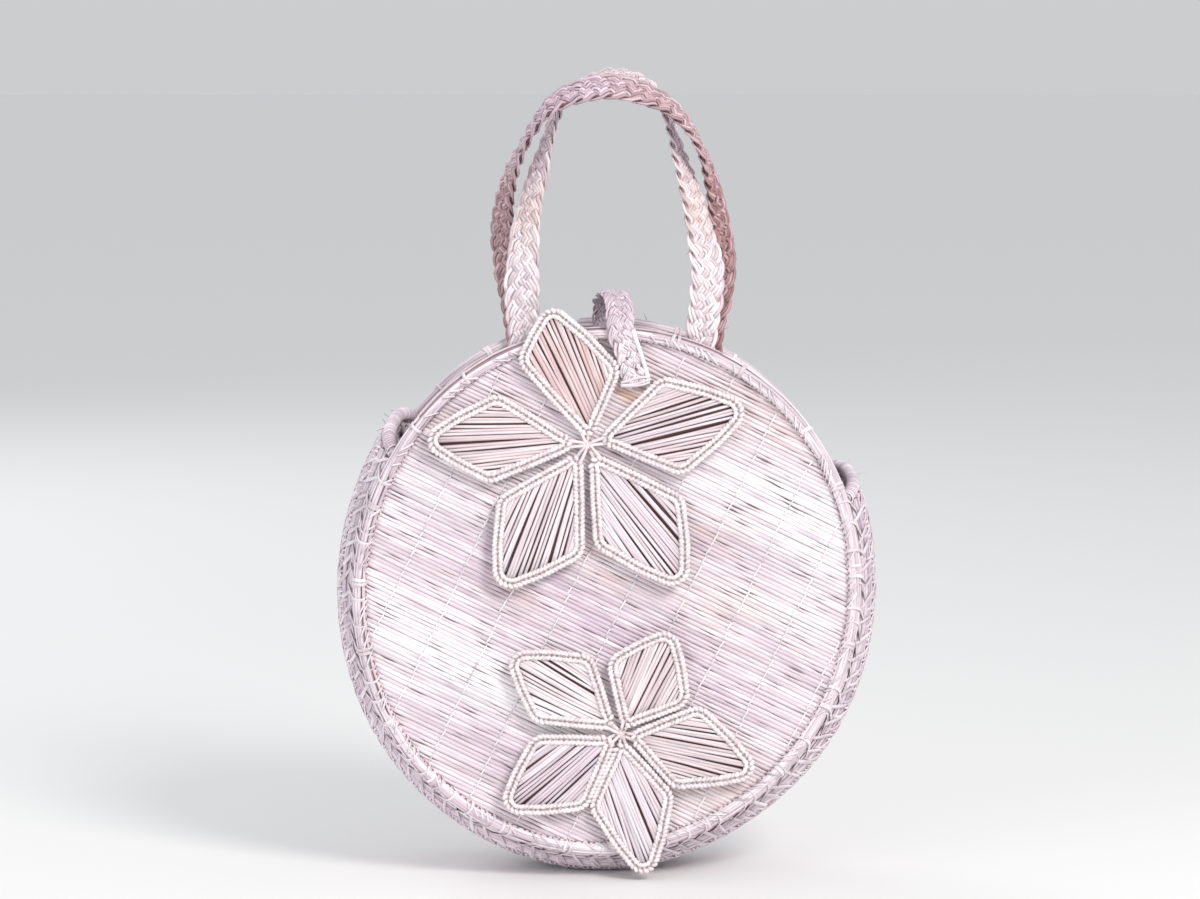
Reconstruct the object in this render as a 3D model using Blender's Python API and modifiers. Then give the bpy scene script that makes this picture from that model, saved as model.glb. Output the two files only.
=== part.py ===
# Round raffia handbag standing on its coiled base: two flat round faces framed by wrapped rims,
# a coiled side wall that bulges like a barrel and is open at the mouth, two braided handles that
# cross, a braided closure strap over the mouth, and two five-petal flowers on the front face.
# Metres, +Z up, the front looks along -Y. The origin is the middle of the flat underside.

import math

import bmesh
import bpy
from mathutils import Matrix, Vector

# Round faces and their rims
FACE_HALF_WIDTH = 0.1540
FACE_HALF_HEIGHT = 0.1618
PANEL_THICKNESS = 0.0024
RIM_THICKNESS = 0.0090
BASE_DEPTH = 0.0940
MOUTH_DEPTH = 0.0840
CLEARANCE = 0.0003

# Coiled side wall, with the ends of its arc at the front and the back rim
WALL_THICKNESS = 0.0070
WALL_ROWS = 10
ROW_GROOVE = 0.0016
SIDE_BULGE = 0.0122
BASE_BULGE = 0.0167
BASE_PRESSED = 0.0017
BULGE_SHARPNESS = 3.2
LEFT_END_FRONT = math.radians(150.6)
LEFT_END_BACK = math.radians(143.0)
RIGHT_END_FRONT = math.radians(18.0)
RIGHT_END_BACK = math.radians(23.0)
END_BINDING_THICKNESS = 0.0086

# Braided handles
HANDLE_RISE = 0.1540
HANDLE_HALF_SPREAD = 0.0700
HANDLE_WIDTH = 0.0226
HANDLE_THICKNESS = 0.0070

# Braided closure strap
STRAP_WIDTH = 0.0178
STRAP_THICKNESS = 0.0050
STRAP_RISE = 0.0170

# Flowers
UPPER_REACH = 0.1040
LOWER_REACH = 0.0880
UPPER_PLACE = (-0.085, 0.570)
LOWER_PLACE = (0.048, -0.548)
PETAL_CORD_WIDTH = 0.0052
PETAL_CORD_THICKNESS = 0.0038
PETAL_WEB_THICKNESS = 0.0016
PETAL_CORNER_RADIUS = 0.0060
PETAL_ROOT_RADIUS = 0.0030
PETAL_ROOT_SHARE = 0.09
PETAL_RIM_SHARE = 0.62
KNOT_RADIUS = 0.0026
KNOT_HEIGHT = 0.0030

# Facets
FACE_STEPS = 64
WALL_STEPS = 42
END_STEPS = 12
HANDLE_STEPS = 44
BAND_SIDES = 8
STRAP_STEPS = 26
CORNER_STEPS = 4
KNOT_STEPS = 10

# Outline every 30 degrees from +X, counter-clockwise seen from the front: shares of the half sizes
OUTLINE = (
    # face, wall
    (0.996, 1.000),
    (1.006, 1.000),
    (1.002, 1.000),
    (0.995, 1.000),
    (1.002, 1.000),
    (0.998, 0.988),
    (1.006, 1.000),
    (1.016, 1.008),
    (1.010, 1.000),
    (0.998, 1.000),
    (0.981, 0.985),
    (0.984, 1.000),
)

# Petals: heading in degrees from +X seen from the front, then shares of the flower's reach for the
# length, the root and the left and right corners (along the petal, aside to its left)
UPPER_PETALS = (
    # heading, length, root along, root aside, left along, left aside, right along, right aside
    (105.0, 0.85, 0.06, -0.020, 0.59, 0.25, 0.39, -0.28),
    (13.0, 0.985, 0.10, 0.010, 0.52, 0.27, 0.51, -0.28),
    (-56.0, 1.03, 0.09, -0.014, 0.58, 0.27, 0.53, -0.28),
    (-122.0, 1.015, 0.10, -0.008, 0.58, 0.30, 0.55, -0.26),
    (178.0, 0.98, 0.10, 0.005, 0.58, 0.22, 0.55, -0.26),
)
LOWER_PETALS = (
    (144.0, 0.975, 0.10, -0.002, 0.56, 0.26, 0.50, -0.30),
    (64.0, 0.815, 0.08, 0.001, 0.44, 0.29, 0.41, -0.31),
    (-16.0, 1.015, 0.09, 0.007, 0.49, 0.32, 0.47, -0.24),
    (-80.0, 1.05, 0.08, -0.007, 0.50, 0.26, 0.48, -0.28),
    (-148.0, 0.995, 0.09, 0.009, 0.50, 0.29, 0.53, -0.29),
)

# Handle routes: across in half spreads, depth in seats (-1 behind the front rim, 1 before the back
# rim), up in rises above the rim's top, turn of the band in degrees, width of the band
FRONT_HANDLE = (
    # across, depth, up, turn, width
    (-0.74, -1.00, -0.240, 0, 0.86),
    (-0.75, -1.00, -0.060, 0, 0.88),
    (-0.76, -1.00, 0.100, 4, 1.00),
    (-0.76, -0.94, 0.220, 16, 1.00),
    (-0.74, -0.74, 0.350, 34, 0.98),
    (-0.69, -0.44, 0.480, 48, 0.96),
    (-0.61, -0.12, 0.610, 60, 0.94),
    (-0.52, 0.16, 0.750, 74, 0.92),
    (-0.42, 0.34, 0.870, 78, 0.90),
    (-0.23, 0.38, 0.955, 72, 0.90),
    (0.06, 0.38, 1.000, 68, 0.90),
    (0.34, 0.38, 0.970, 72, 0.90),
    (0.52, 0.34, 0.875, 78, 0.90),
    (0.61, 0.16, 0.750, 74, 0.92),
    (0.69, -0.12, 0.620, 60, 0.94),
    (0.77, -0.44, 0.490, 48, 0.96),
    (0.83, -0.74, 0.360, 34, 0.98),
    (0.88, -0.94, 0.230, 16, 1.00),
    (0.87, -1.00, 0.110, 4, 1.00),
    (0.82, -1.00, -0.050, 0, 0.90),
    (0.79, -1.00, -0.240, 0, 0.88),
)
BACK_HANDLE = (
    (-0.74, 1.00, -0.240, 0, 0.86),
    (-0.77, 1.00, -0.040, 0, 0.90),
    (-0.81, 0.98, 0.090, 8, 1.00),
    (-0.87, 0.86, 0.230, 26, 1.00),
    (-0.92, 0.60, 0.360, 46, 1.00),
    (-0.91, 0.32, 0.480, 60, 0.98),
    (-0.85, 0.04, 0.600, 70, 0.96),
    (-0.74, -0.22, 0.720, 80, 0.84),
    (-0.60, -0.36, 0.830, 72, 0.80),
    (-0.40, -0.39, 0.910, 54, 0.84),
    (0.00, -0.39, 0.955, 42, 0.88),
    (0.42, -0.39, 0.910, 52, 0.86),
    (0.66, -0.36, 0.830, 66, 0.82),
    (0.82, -0.22, 0.720, 80, 0.84),
    (0.92, 0.04, 0.600, 70, 0.96),
    (0.99, 0.32, 0.480, 60, 0.98),
    (1.04, 0.60, 0.350, 48, 1.00),
    (1.05, 0.86, 0.215, 28, 1.00),
    (1.01, 0.98, 0.090, 8, 1.00),
    (0.95, 1.00, -0.040, 0, 0.90),
    (0.92, 1.00, -0.240, 0, 0.86),
)

# Closure strap route: across in strap widths, depth in seats (1 before the back rim, -1 in front of
# the front rim), up in strap rises above the rim's top, width of the band
CLOSURE_STRAP = (
    # across, depth, up, width
    (0.00, 1.00, -1.50, 0.80),
    (0.00, 1.00, -0.30, 0.90),
    (0.04, 0.86, 0.50, 1.00),
    (0.16, 0.44, 0.95, 1.00),
    (0.30, -0.18, 1.02, 1.00),
    (0.38, -0.66, 0.80, 1.00),
    (0.40, -0.95, 0.28, 1.00),
    (0.44, -1.00, -0.30, 0.98),
    (0.67, -1.00, -0.96, 0.94),
    (0.86, -0.95, -1.62, 0.98),
    (0.95, -0.94, -2.12, 1.04),
)

# Colours, roughness
COLOURS = {
    "splint": ((0.84, 0.76, 0.77, 1.0), 0.55),
    "rim_straw": ((0.80, 0.71, 0.73, 1.0), 0.55),
    "coil_straw": ((0.74, 0.63, 0.66, 1.0), 0.60),
    "braid_pale": ((0.84, 0.77, 0.80, 1.0), 0.58),
    "braid_mauve": ((0.56, 0.38, 0.38, 1.0), 0.60),
    "petal_cord": ((0.86, 0.76, 0.75, 1.0), 0.62),
    "petal_straw": ((0.72, 0.60, 0.58, 1.0), 0.50),
}

# Values worked out from the sizes above
CENTRE_HEIGHT = FACE_HALF_HEIGHT + WALL_THICKNESS / 2 + BASE_BULGE - BASE_PRESSED
MID_DEPTH = (BASE_DEPTH + MOUTH_DEPTH) / 2
FACE_LEAN = math.atan((BASE_DEPTH - MOUTH_DEPTH) / (4 * FACE_HALF_HEIGHT))
RIM_RADIUS = RIM_THICKNESS / 2
RIM_TOP = CENTRE_HEIGHT + FACE_HALF_HEIGHT * OUTLINE[3][0] + RIM_RADIUS
PETAL_STAND_OFF = PANEL_THICKNESS / 2 + CLEARANCE + PETAL_CORD_THICKNESS / 2


def collection(name):
    made = bpy.data.collections.new(name)
    bpy.context.scene.collection.children.link(made)
    return made


def material(name):
    made = bpy.data.materials.get(name)
    if made is None:
        colour, roughness = COLOURS[name]
        made = bpy.data.materials.new(name)
        made.use_nodes = True
        shader = made.node_tree.nodes["Principled BSDF"]
        shader.inputs["Base Color"].default_value = colour
        shader.inputs["Roughness"].default_value = roughness
        shader.inputs["Metallic"].default_value = 0.0
        made.diffuse_color = colour
    return made


def add_object(name, data, finish, parts):
    data.materials.append(material(finish))
    made = bpy.data.objects.new(name, data)
    parts.objects.link(made)
    return made


def face_frame(side):
    # Local X and Y lie in the face, local Z points out of the bag; side is -1 front, 1 back
    frame = Matrix.Rotation(math.pi / 2 - FACE_LEAN, 4, "X")
    if side > 0:
        frame = Matrix.Rotation(math.pi, 4, "Z") @ frame
    return Matrix.Translation((0, side * MID_DEPTH / 2, CENTRE_HEIGHT)) @ frame


def ellipse(half_width, half_height, steps):
    turns = [2 * math.pi * step / steps for step in range(steps)]
    return [(half_width * math.cos(turn), half_height * math.sin(turn)) for turn in turns]


def smooth_value(before, start, end, after, share):
    # Catmull-Rom reading between start and end
    bend = (2 * before - 5 * start + 4 * end - after) * share ** 2
    bend += (3 * (start - end) + after - before) * share ** 3
    return start + ((end - before) * share + bend) / 2


def outline_share(angle, column):
    # The outline table read at any angle: column 0 is the face, 1 the wall
    count = len(OUTLINE)
    position = (angle / (2 * math.pi) % 1.0) * count
    index = int(position)
    near = [OUTLINE[(index + offset) % count][column] for offset in (-1, 0, 1, 2)]
    return smooth_value(*near, position - index)


def outward(angle):
    # Direction square to the outline, across and up
    return Vector((FACE_HALF_HEIGHT * math.cos(angle), FACE_HALF_WIDTH * math.sin(angle))).normalized()


def face_outline(inset):
    # The rim's middle line, seen from the front, moved in by an inset
    points = []
    for step in range(FACE_STEPS):
        angle = 2 * math.pi * step / FACE_STEPS
        share = outline_share(angle, 0)
        across = FACE_HALF_WIDTH * share * math.cos(angle)
        up = FACE_HALF_HEIGHT * share * math.sin(angle)
        points.append(Vector((across, up)) - outward(angle) * inset)
    return points


def poly_curve(name, points, closed):
    curve = bpy.data.curves.new(name, "CURVE")
    curve.dimensions = "3D"
    spline = curve.splines.new("POLY")
    spline.points.add(len(points) - 1)
    for target, point in zip(spline.points, points):
        place = Vector(point).to_3d() if len(point) == 2 else Vector(point)
        target.co = (place.x, place.y, place.z, 1.0)
    spline.use_cyclic_u = closed
    return curve


def tube(name, points, radius, resolution, closed, finish, parts):
    curve = poly_curve(name, points, closed)
    curve.bevel_depth = radius
    curve.bevel_resolution = resolution
    curve.use_fill_caps = not closed
    return add_object(name, curve, finish, parts)


def plate(name, outline, thickness, finish, parts):
    curve = poly_curve(name, outline, True)
    curve.dimensions = "2D"
    curve.fill_mode = "BOTH"
    curve.extrude = thickness / 2
    return add_object(name, curve, finish, parts)


def make_faces(parts):
    for name, side in (("front", -1), ("back", 1)):
        flip = Matrix.Diagonal((-side, 1))
        outline = [flip @ point for point in face_outline(RIM_RADIUS + CLEARANCE)]
        panel = plate(name + "_panel", outline, PANEL_THICKNESS, "splint", parts)
        panel.matrix_world = face_frame(side)
        hoop = [flip @ point for point in face_outline(0.0)]
        rim = tube(name + "_rim", hoop, RIM_RADIUS, 2, True, "rim_straw", parts)
        rim.matrix_world = face_frame(side)


def rim_point(side, angle):
    share = outline_share(angle, 0)
    across = -side * FACE_HALF_WIDTH * share * math.cos(angle)
    return face_frame(side) @ Vector((across, FACE_HALF_HEIGHT * share * math.sin(angle), 0))


def end_angles(share):
    # The two ends of the wall's arc, left first, at a share of the way from front to back
    left = LEFT_END_FRONT + (LEFT_END_BACK - LEFT_END_FRONT) * share
    right = RIGHT_END_FRONT + (RIGHT_END_BACK - RIGHT_END_FRONT) * share
    return left, right + 2 * math.pi


def wall_point(angle, share, lift):
    # A place in the side wall, lift above the middle of its thickness
    front = rim_point(-1, angle)
    back = rim_point(1, angle)
    margin = (RIM_RADIUS + CLEARANCE) / (back - front).length
    place = front.lerp(back, margin + share * (1 - 2 * margin))
    arch = 1 - abs(2 * share - 1) ** BULGE_SHARPNESS
    crown = outline_share(angle, 1)
    across = (FACE_HALF_WIDTH + SIDE_BULGE) * crown * math.cos(angle)
    up = CENTRE_HEIGHT + (FACE_HALF_HEIGHT + BASE_BULGE) * crown * math.sin(angle)
    place.x += (across - place.x) * arch
    place.z += (up - place.z) * arch
    lifted = outward(angle) * lift
    return place + Vector((lifted.x, 0, lifted.y))


def make_wall(parts):
    # One open sheet of grooved rows, pressed flat where it stands, made thick by Solidify
    columns = WALL_ROWS * 2
    sheet = bmesh.new()
    bmesh.ops.create_grid(sheet, x_segments=columns, y_segments=WALL_STEPS, size=0.5)
    for vertex in sheet.verts:
        share = vertex.co.x + 0.5
        column = round(share * columns)
        left, right = end_angles(share)
        angle = left + (right - left) * (vertex.co.y + 0.5)
        groove = ROW_GROOVE if column % 2 == 0 else 0.0
        vertex.co = wall_point(angle, share, WALL_THICKNESS / 2 - groove)
        vertex.co.z = max(vertex.co.z, 0.0)
    bmesh.ops.recalc_face_normals(sheet, faces=sheet.faces)
    mesh = bpy.data.meshes.new("gusset")
    sheet.to_mesh(mesh)
    sheet.free()
    wall = add_object("gusset", mesh, "coil_straw", parts)
    middle = mesh.polygons[len(mesh.polygons) // 2]
    outside = 1.0 if middle.normal.z < 0 else -1.0
    solid = wall.modifiers.new("wall", "SOLIDIFY")
    solid.thickness = WALL_THICKNESS
    solid.offset = -outside
    mesh.shade_smooth()
    mesh.set_sharp_from_angle(angle=math.radians(40))


def make_end_bindings(parts):
    # Whipped rolls along the two ends of the wall, from rim to rim
    radius = END_BINDING_THICKNESS / 2
    step_out = (radius + CLEARANCE) / FACE_HALF_WIDTH
    margin = radius / BASE_DEPTH
    for name, end, way in (("end_binding_left", 0, -1), ("end_binding_right", 1, 1)):
        points = []
        for step in range(END_STEPS + 1):
            share = margin + (1 - 2 * margin) * step / END_STEPS
            angle = end_angles(share)[end] + way * step_out
            points.append(wall_point(angle, share, 0.0))
        roll = tube(name, points, radius, 2, False, "coil_straw", parts)
        roll.data.splines[0].use_smooth = True


def smooth_row(rows, position):
    # All columns of a table, read smoothly between its rows
    last = len(rows) - 1
    index = min(int(position), last - 1)
    near = [rows[min(max(index + offset, 0), last)] for offset in (-1, 0, 1, 2)]
    return [smooth_value(*column, position - index) for column in zip(*near)]


def directions(middles):
    # The direction of travel at each point of a route
    last = len(middles) - 1
    pairs = [(middles[max(i - 1, 0)], middles[min(i + 1, last)]) for i in range(last + 1)]
    return [(ahead - behind).normalized() for behind, ahead in pairs]


def band(name, stations, thickness, finish, parts):
    # A flat band lofted through stations of (middle, along, across, width)
    loft = bmesh.new()
    rings = []
    for middle, along, across, width in stations:
        through = along.cross(across).normalized()
        ring = []
        for x, y in ellipse(width / 2, thickness / 2, BAND_SIDES):
            ring.append(loft.verts.new(middle + across * x + through * y))
        rings.append(ring)
    for near, far in zip(rings, rings[1:]):
        for side in range(BAND_SIDES):
            other = (side + 1) % BAND_SIDES
            loft.faces.new((near[side], near[other], far[other], far[side]))
    loft.faces.new(rings[0][::-1])
    loft.faces.new(rings[-1])
    bmesh.ops.recalc_face_normals(loft, faces=loft.faces)
    mesh = bpy.data.meshes.new(name)
    loft.to_mesh(mesh)
    loft.free()
    mesh.shade_smooth()
    mesh.set_sharp_from_angle(angle=math.radians(60))
    return add_object(name, mesh, finish, parts)


def make_handle(name, rows, finish, parts):
    # The band faces the front at its ends and turns its outer face up over the arch
    seat = MOUTH_DEPTH / 2 - RIM_RADIUS - CLEARANCE - HANDLE_THICKNESS / 2
    read = [smooth_row(rows, (len(rows) - 1) * i / HANDLE_STEPS) for i in range(HANDLE_STEPS + 1)]
    middles = []
    for across, depth, up, turn, width in read:
        middles.append(
            Vector((across * HANDLE_HALF_SPREAD, depth * seat, RIM_TOP + up * HANDLE_RISE))
        )
    stations = []
    for row, middle, along in zip(read, middles, directions(middles)):
        back = Vector((0, 1, 0)) - along * along.y
        back.normalize()
        aside = back.cross(along)
        turn = math.radians(row[3])
        across = aside * math.cos(turn) - back * math.sin(turn)
        stations.append((middle, along, across, row[4] * HANDLE_WIDTH))
    band(name, stations, HANDLE_THICKNESS, finish, parts)


def make_strap(parts):
    back_seat = MOUTH_DEPTH / 2 - RIM_RADIUS - CLEARANCE - STRAP_THICKNESS / 2
    front_seat = MOUTH_DEPTH / 2 + RIM_RADIUS + CLEARANCE + STRAP_THICKNESS / 2
    rows = CLOSURE_STRAP
    read = [smooth_row(rows, (len(rows) - 1) * i / STRAP_STEPS) for i in range(STRAP_STEPS + 1)]
    middles = []
    for across, depth, up, width in read:
        place = depth * (back_seat if depth > 0 else front_seat)
        middles.append(Vector((across * STRAP_WIDTH, place, RIM_TOP + up * STRAP_RISE)))
    stations = []
    for row, middle, along in zip(read, middles, directions(middles)):
        across = Vector((1, 0, 0)) - along * along.x
        stations.append((middle, along, across.normalized(), row[3] * STRAP_WIDTH))
    band("closure_strap", stations, STRAP_THICKNESS, "braid_pale", parts)


def shifted_lines(corners, distance):
    # Corners of a convex outline that runs counter-clockwise, moved in by a distance
    moved = []
    count = len(corners)
    for index in range(count):
        before = (corners[index] - corners[index - 1]).normalized()
        after = (corners[(index + 1) % count] - corners[index]).normalized()
        inward = Vector((-before.y, before.x)) + Vector((-after.y, after.x))
        half_angle = math.acos(max(-1.0, min(1.0, before.dot(after)))) / 2
        moved.append(corners[index] + inward.normalized() * (distance / math.cos(half_angle)))
    return moved


def rounded_outline(corners, radii):
    # The outline with an arc of the given radius in each corner
    points = []
    count = len(corners)
    for index in range(count):
        corner = corners[index]
        before = (corners[index - 1] - corner)
        after = (corners[(index + 1) % count] - corner)
        half_angle = before.angle(after) / 2
        reach = min(radii[index] / math.tan(half_angle), 0.45 * before.length, 0.45 * after.length)
        radius = reach * math.tan(half_angle)
        middle = (before.normalized() + after.normalized()).normalized()
        centre = corner + middle * (radius / math.sin(half_angle))
        start = corner + before.normalized() * reach - centre
        sweep = math.pi - 2 * half_angle
        for step in range(CORNER_STEPS + 1):
            turn = Matrix.Rotation(sweep * step / CORNER_STEPS, 2)
            points.append(centre + turn @ start)
    return points


def petal_corners(row, reach):
    length, root, root_aside, left, left_aside, right, right_aside = row[1:]
    shares = ((root, root_aside), (right, right_aside), (length, 0.0), (left, left_aside))
    return [Vector(pair) * reach for pair in shares]


def petal_frame(place, heading, reach):
    # Local X runs out along the petal, which rests on the panel at its root and passes over the rim
    rise = RIM_RADIUS + CLEARANCE + PETAL_CORD_THICKNESS / 2 - PETAL_STAND_OFF
    lean = math.atan(rise / ((PETAL_RIM_SHARE - PETAL_ROOT_SHARE) * reach))
    stand = PETAL_STAND_OFF - PETAL_ROOT_SHARE * reach * math.tan(lean)
    centre = Vector((place[0] * FACE_HALF_WIDTH, place[1] * FACE_HALF_HEIGHT, stand))
    turn = Matrix.Rotation(math.radians(heading), 4, "Z") @ Matrix.Rotation(-lean, 4, "Y")
    return face_frame(-1) @ Matrix.Translation(centre) @ turn


def make_flower(name, place, reach, rows, parts):
    corner_radii = [PETAL_ROOT_RADIUS] + [PETAL_CORNER_RADIUS] * 3
    inset = PETAL_CORD_WIDTH / 2 + CLEARANCE
    for number, row in enumerate(rows, start=1):
        frame = petal_frame(place, row[0], reach)
        corners = petal_corners(row, reach)
        outline = rounded_outline(corners, corner_radii)
        label = name + "_petal_edge_" + str(number)
        edge = tube(label, outline, PETAL_CORD_WIDTH / 2, 1, True, "petal_cord", parts)
        flatness = PETAL_CORD_THICKNESS / PETAL_CORD_WIDTH
        edge.matrix_world = frame @ Matrix.Diagonal((1, 1, flatness, 1))
        web_radii = [max(radius - inset, inset / 4) for radius in corner_radii]
        web_outline = rounded_outline(shifted_lines(corners, inset), web_radii)
        label = name + "_petal_web_" + str(number)
        web = plate(label, web_outline, PETAL_WEB_THICKNESS, "petal_straw", parts)
        web.matrix_world = frame


def make_knot(name, place, parts):
    # A small flattened bead of stitches in the middle of a flower
    lift = PANEL_THICKNESS / 2 + CLEARANCE + KNOT_HEIGHT / 2
    place = Vector((place[0] * FACE_HALF_WIDTH, place[1] * FACE_HALF_HEIGHT, lift))
    squash = Matrix.Diagonal((KNOT_RADIUS, KNOT_RADIUS, KNOT_HEIGHT / 2, 1))
    ball = bmesh.new()
    bmesh.ops.create_uvsphere(
        ball, u_segments=KNOT_STEPS, v_segments=KNOT_STEPS // 2, radius=1.0, matrix=squash
    )
    mesh = bpy.data.meshes.new(name)
    ball.to_mesh(mesh)
    ball.free()
    mesh.shade_smooth()
    knot = add_object(name, mesh, "petal_cord", parts)
    knot.matrix_world = face_frame(-1) @ Matrix.Translation(place)


def main():
    for old in list(bpy.data.objects):
        bpy.data.objects.remove(old, do_unlink=True)
    parts = collection("round_raffia_handbag")
    make_faces(parts)
    make_wall(parts)
    make_end_bindings(parts)
    make_handle("front_handle", FRONT_HANDLE, "braid_pale", parts)
    make_handle("back_handle", BACK_HANDLE, "braid_mauve", parts)
    make_strap(parts)
    make_flower("upper", UPPER_PLACE, UPPER_REACH, UPPER_PETALS, parts)
    make_flower("lower", LOWER_PLACE, LOWER_REACH, LOWER_PETALS, parts)
    make_knot("upper_flower_knot", UPPER_PLACE, parts)
    make_knot("lower_flower_knot", LOWER_PLACE, parts)
    bpy.context.view_layer.update()


main()
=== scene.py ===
# Round raffia handbag: its looks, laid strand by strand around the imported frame.
# Metres, +Z up, the front face looks along -Y.

import math

import bpy
import numpy as np
from mathutils import Matrix, Vector


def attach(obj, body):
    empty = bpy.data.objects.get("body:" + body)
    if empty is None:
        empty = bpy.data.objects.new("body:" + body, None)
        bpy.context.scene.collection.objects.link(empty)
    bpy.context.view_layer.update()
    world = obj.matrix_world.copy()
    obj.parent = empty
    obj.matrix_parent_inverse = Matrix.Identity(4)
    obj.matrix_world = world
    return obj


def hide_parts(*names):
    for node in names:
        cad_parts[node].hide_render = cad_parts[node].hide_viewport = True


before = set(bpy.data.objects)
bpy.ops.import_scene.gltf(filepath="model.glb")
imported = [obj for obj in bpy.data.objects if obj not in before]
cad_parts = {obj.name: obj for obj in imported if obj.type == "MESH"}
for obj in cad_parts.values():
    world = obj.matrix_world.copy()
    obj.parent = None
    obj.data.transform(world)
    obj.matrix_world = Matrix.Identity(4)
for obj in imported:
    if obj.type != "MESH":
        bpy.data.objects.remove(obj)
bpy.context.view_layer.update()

# sizes shared by all the pieces, the same as in the solids

bag = {
    "faceHalfWidth": 0.1540,  # to the middle of the rim
    "faceHalfHeight": 0.1618,
    "panelThickness": 0.0024,
    "rimThickness": 0.0090,
    "baseDepth": 0.0940,
    "mouthDepth": 0.0840,
    "clearance": 0.0003,
}

wall = {
    "thickness": 0.0070,
    "rows": 10,
    "sideBulge": 0.0122,
    "baseBulge": 0.0167,
    "basePressed": 0.0017,
    "sharpness": 3.2,
    "leftEnd": (math.radians(150.6), math.radians(143.0)),  # at the front and the back rim
    "rightEnd": (math.radians(18.0), math.radians(23.0)),
}

# outline every 30 degrees from +X, counter-clockwise seen from the front: face, wall
outline = np.array([
    (0.996, 1.000), (1.006, 1.000), (1.002, 1.000), (0.995, 1.000), (1.002, 1.000), (0.998, 0.988),
    (1.006, 1.000), (1.016, 1.008), (1.010, 1.000), (0.998, 1.000), (0.981, 0.985), (0.984, 1.000),
])

halfSize = np.array([bag["faceHalfWidth"], bag["faceHalfHeight"]])
rimRadius = bag["rimThickness"] / 2
centreHeight = halfSize[1] + wall["thickness"] / 2 + wall["baseBulge"] - wall["basePressed"]
faceDepth = (bag["baseDepth"] + bag["mouthDepth"]) / 4
faceLean = math.atan((bag["baseDepth"] - bag["mouthDepth"]) / (4 * halfSize[1]))
rimTop = centreHeight + halfSize[1] * outline[3][0] + rimRadius


def smoothValue(before, start, end, after, share):
    # Catmull-Rom reading between start and end
    bend = (2 * before - 5 * start + 4 * end - after) * share ** 2
    bend = bend + (3 * (start - end) + after - before) * share ** 3
    return start + ((end - before) * share + bend) / 2


def outlineShare(angle, column):
    count = len(outline)
    place = np.asarray(angle) / (2 * math.pi) % 1.0 * count
    index = place.astype(int)
    near = [outline[(index + step) % count, column] for step in (-1, 0, 1, 2)]
    return smoothValue(*near, place - index)


def unit(vectors):
    return vectors / np.linalg.norm(vectors, axis=-1, keepdims=True)


def square(vectors, travel):
    # the vectors turned square to the directions of travel
    vectors = np.asarray(vectors, float)
    return unit(vectors - travel * (vectors * travel).sum(-1, keepdims=True))


def headings(turn):
    # the direction at this turn in a plane, and the one a quarter turn on
    return np.array([math.cos(turn), math.sin(turn)]), np.array([-math.sin(turn), math.cos(turn)])


def around(first, second, turns):
    # directions that turn from the first to the second
    return first * np.cos(turns)[..., None] + second * np.sin(turns)[..., None]


def lengthAlong(points):
    return np.concatenate([[0], np.cumsum(np.linalg.norm(np.diff(points, axis=0), axis=1))])


def readAt(spots, run, points):
    return np.stack([np.interp(spots, run, column) for column in points.T], -1)


def loopTravel(points):
    return unit(np.roll(points, -1, 0) - np.roll(points, 1, 0))


def outward(angle):
    # square to the outline, in the plane of the face
    angle = np.asarray(angle)
    flat = np.zeros(angle.shape)
    return unit(np.stack([halfSize[1] * np.cos(angle), flat, halfSize[0] * np.sin(angle)], -1))


def faceMatrix(side):
    # local X and Y lie in the face and Z points out of the bag; side is -1 front, 1 back
    turned = Matrix.Rotation(math.pi / 2 - faceLean, 4, "X")
    if side > 0:
        turned = Matrix.Rotation(math.pi, 4, "Z") @ turned
    return Matrix.Translation((0, side * faceDepth, centreHeight)) @ turned


def place(matrix, points):
    matrix = np.array(matrix)
    return np.asarray(points) @ matrix[:3, :3].T + matrix[:3, 3]


def turnOnly(matrix, vectors):
    return np.asarray(vectors) @ np.array(matrix)[:3, :3].T


def placeFlat(matrix, spots, lift):
    # places in the plane of a matrix, lifted out of it
    return place(matrix, np.column_stack([spots, np.broadcast_to(lift, len(spots))]))


def faceFrame(side):
    matrix = faceMatrix(side)
    return matrix, turnOnly(matrix, (0, 0, 1))


def facePoint(side, angle, inset=0.0, lift=0.0):
    # a place on the face, inset from the rim's middle line and lifted out of the face
    angle = np.asarray(angle, float)
    share, direction = outlineShare(angle, 0), outward(angle)
    across = halfSize[0] * share * np.cos(angle) - direction[..., 0] * inset
    up = halfSize[1] * share * np.sin(angle) - direction[..., 2] * inset
    return place(faceMatrix(side), np.stack([-side * across, up, np.broadcast_to(lift, angle.shape)], -1))


def wallPoint(angle, share, lift=0.0):
    angle = np.asarray(angle, float)
    share = np.asarray(share, float) * np.ones(angle.shape)
    front = facePoint(-1, angle)
    back = facePoint(1, angle)
    margin = (rimRadius + bag["clearance"]) / np.linalg.norm(back - front, axis=-1)
    spot = front + (back - front) * (margin + share * (1 - 2 * margin))[..., None]
    arch = 1 - np.abs(2 * share - 1) ** wall["sharpness"]
    crown = outlineShare(angle, 1)
    across = (halfSize[0] + wall["sideBulge"]) * crown * np.cos(angle)
    up = centreHeight + (halfSize[1] + wall["baseBulge"]) * crown * np.sin(angle)
    spot[..., 0] += (across - spot[..., 0]) * arch
    spot[..., 2] += (up - spot[..., 2]) * arch
    return spot + outward(angle) * lift


def wallEnds(share):
    left, right = [front + (back - front) * share for front, back in (wall["leftEnd"], wall["rightEnd"])]
    return left, right + 2 * math.pi


def addObject(name, data):
    made = bpy.data.objects.new(name, data)
    bpy.context.scene.collection.objects.link(made)
    return made


# straw work: strands gathered into one mesh, with what the materials read

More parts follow.
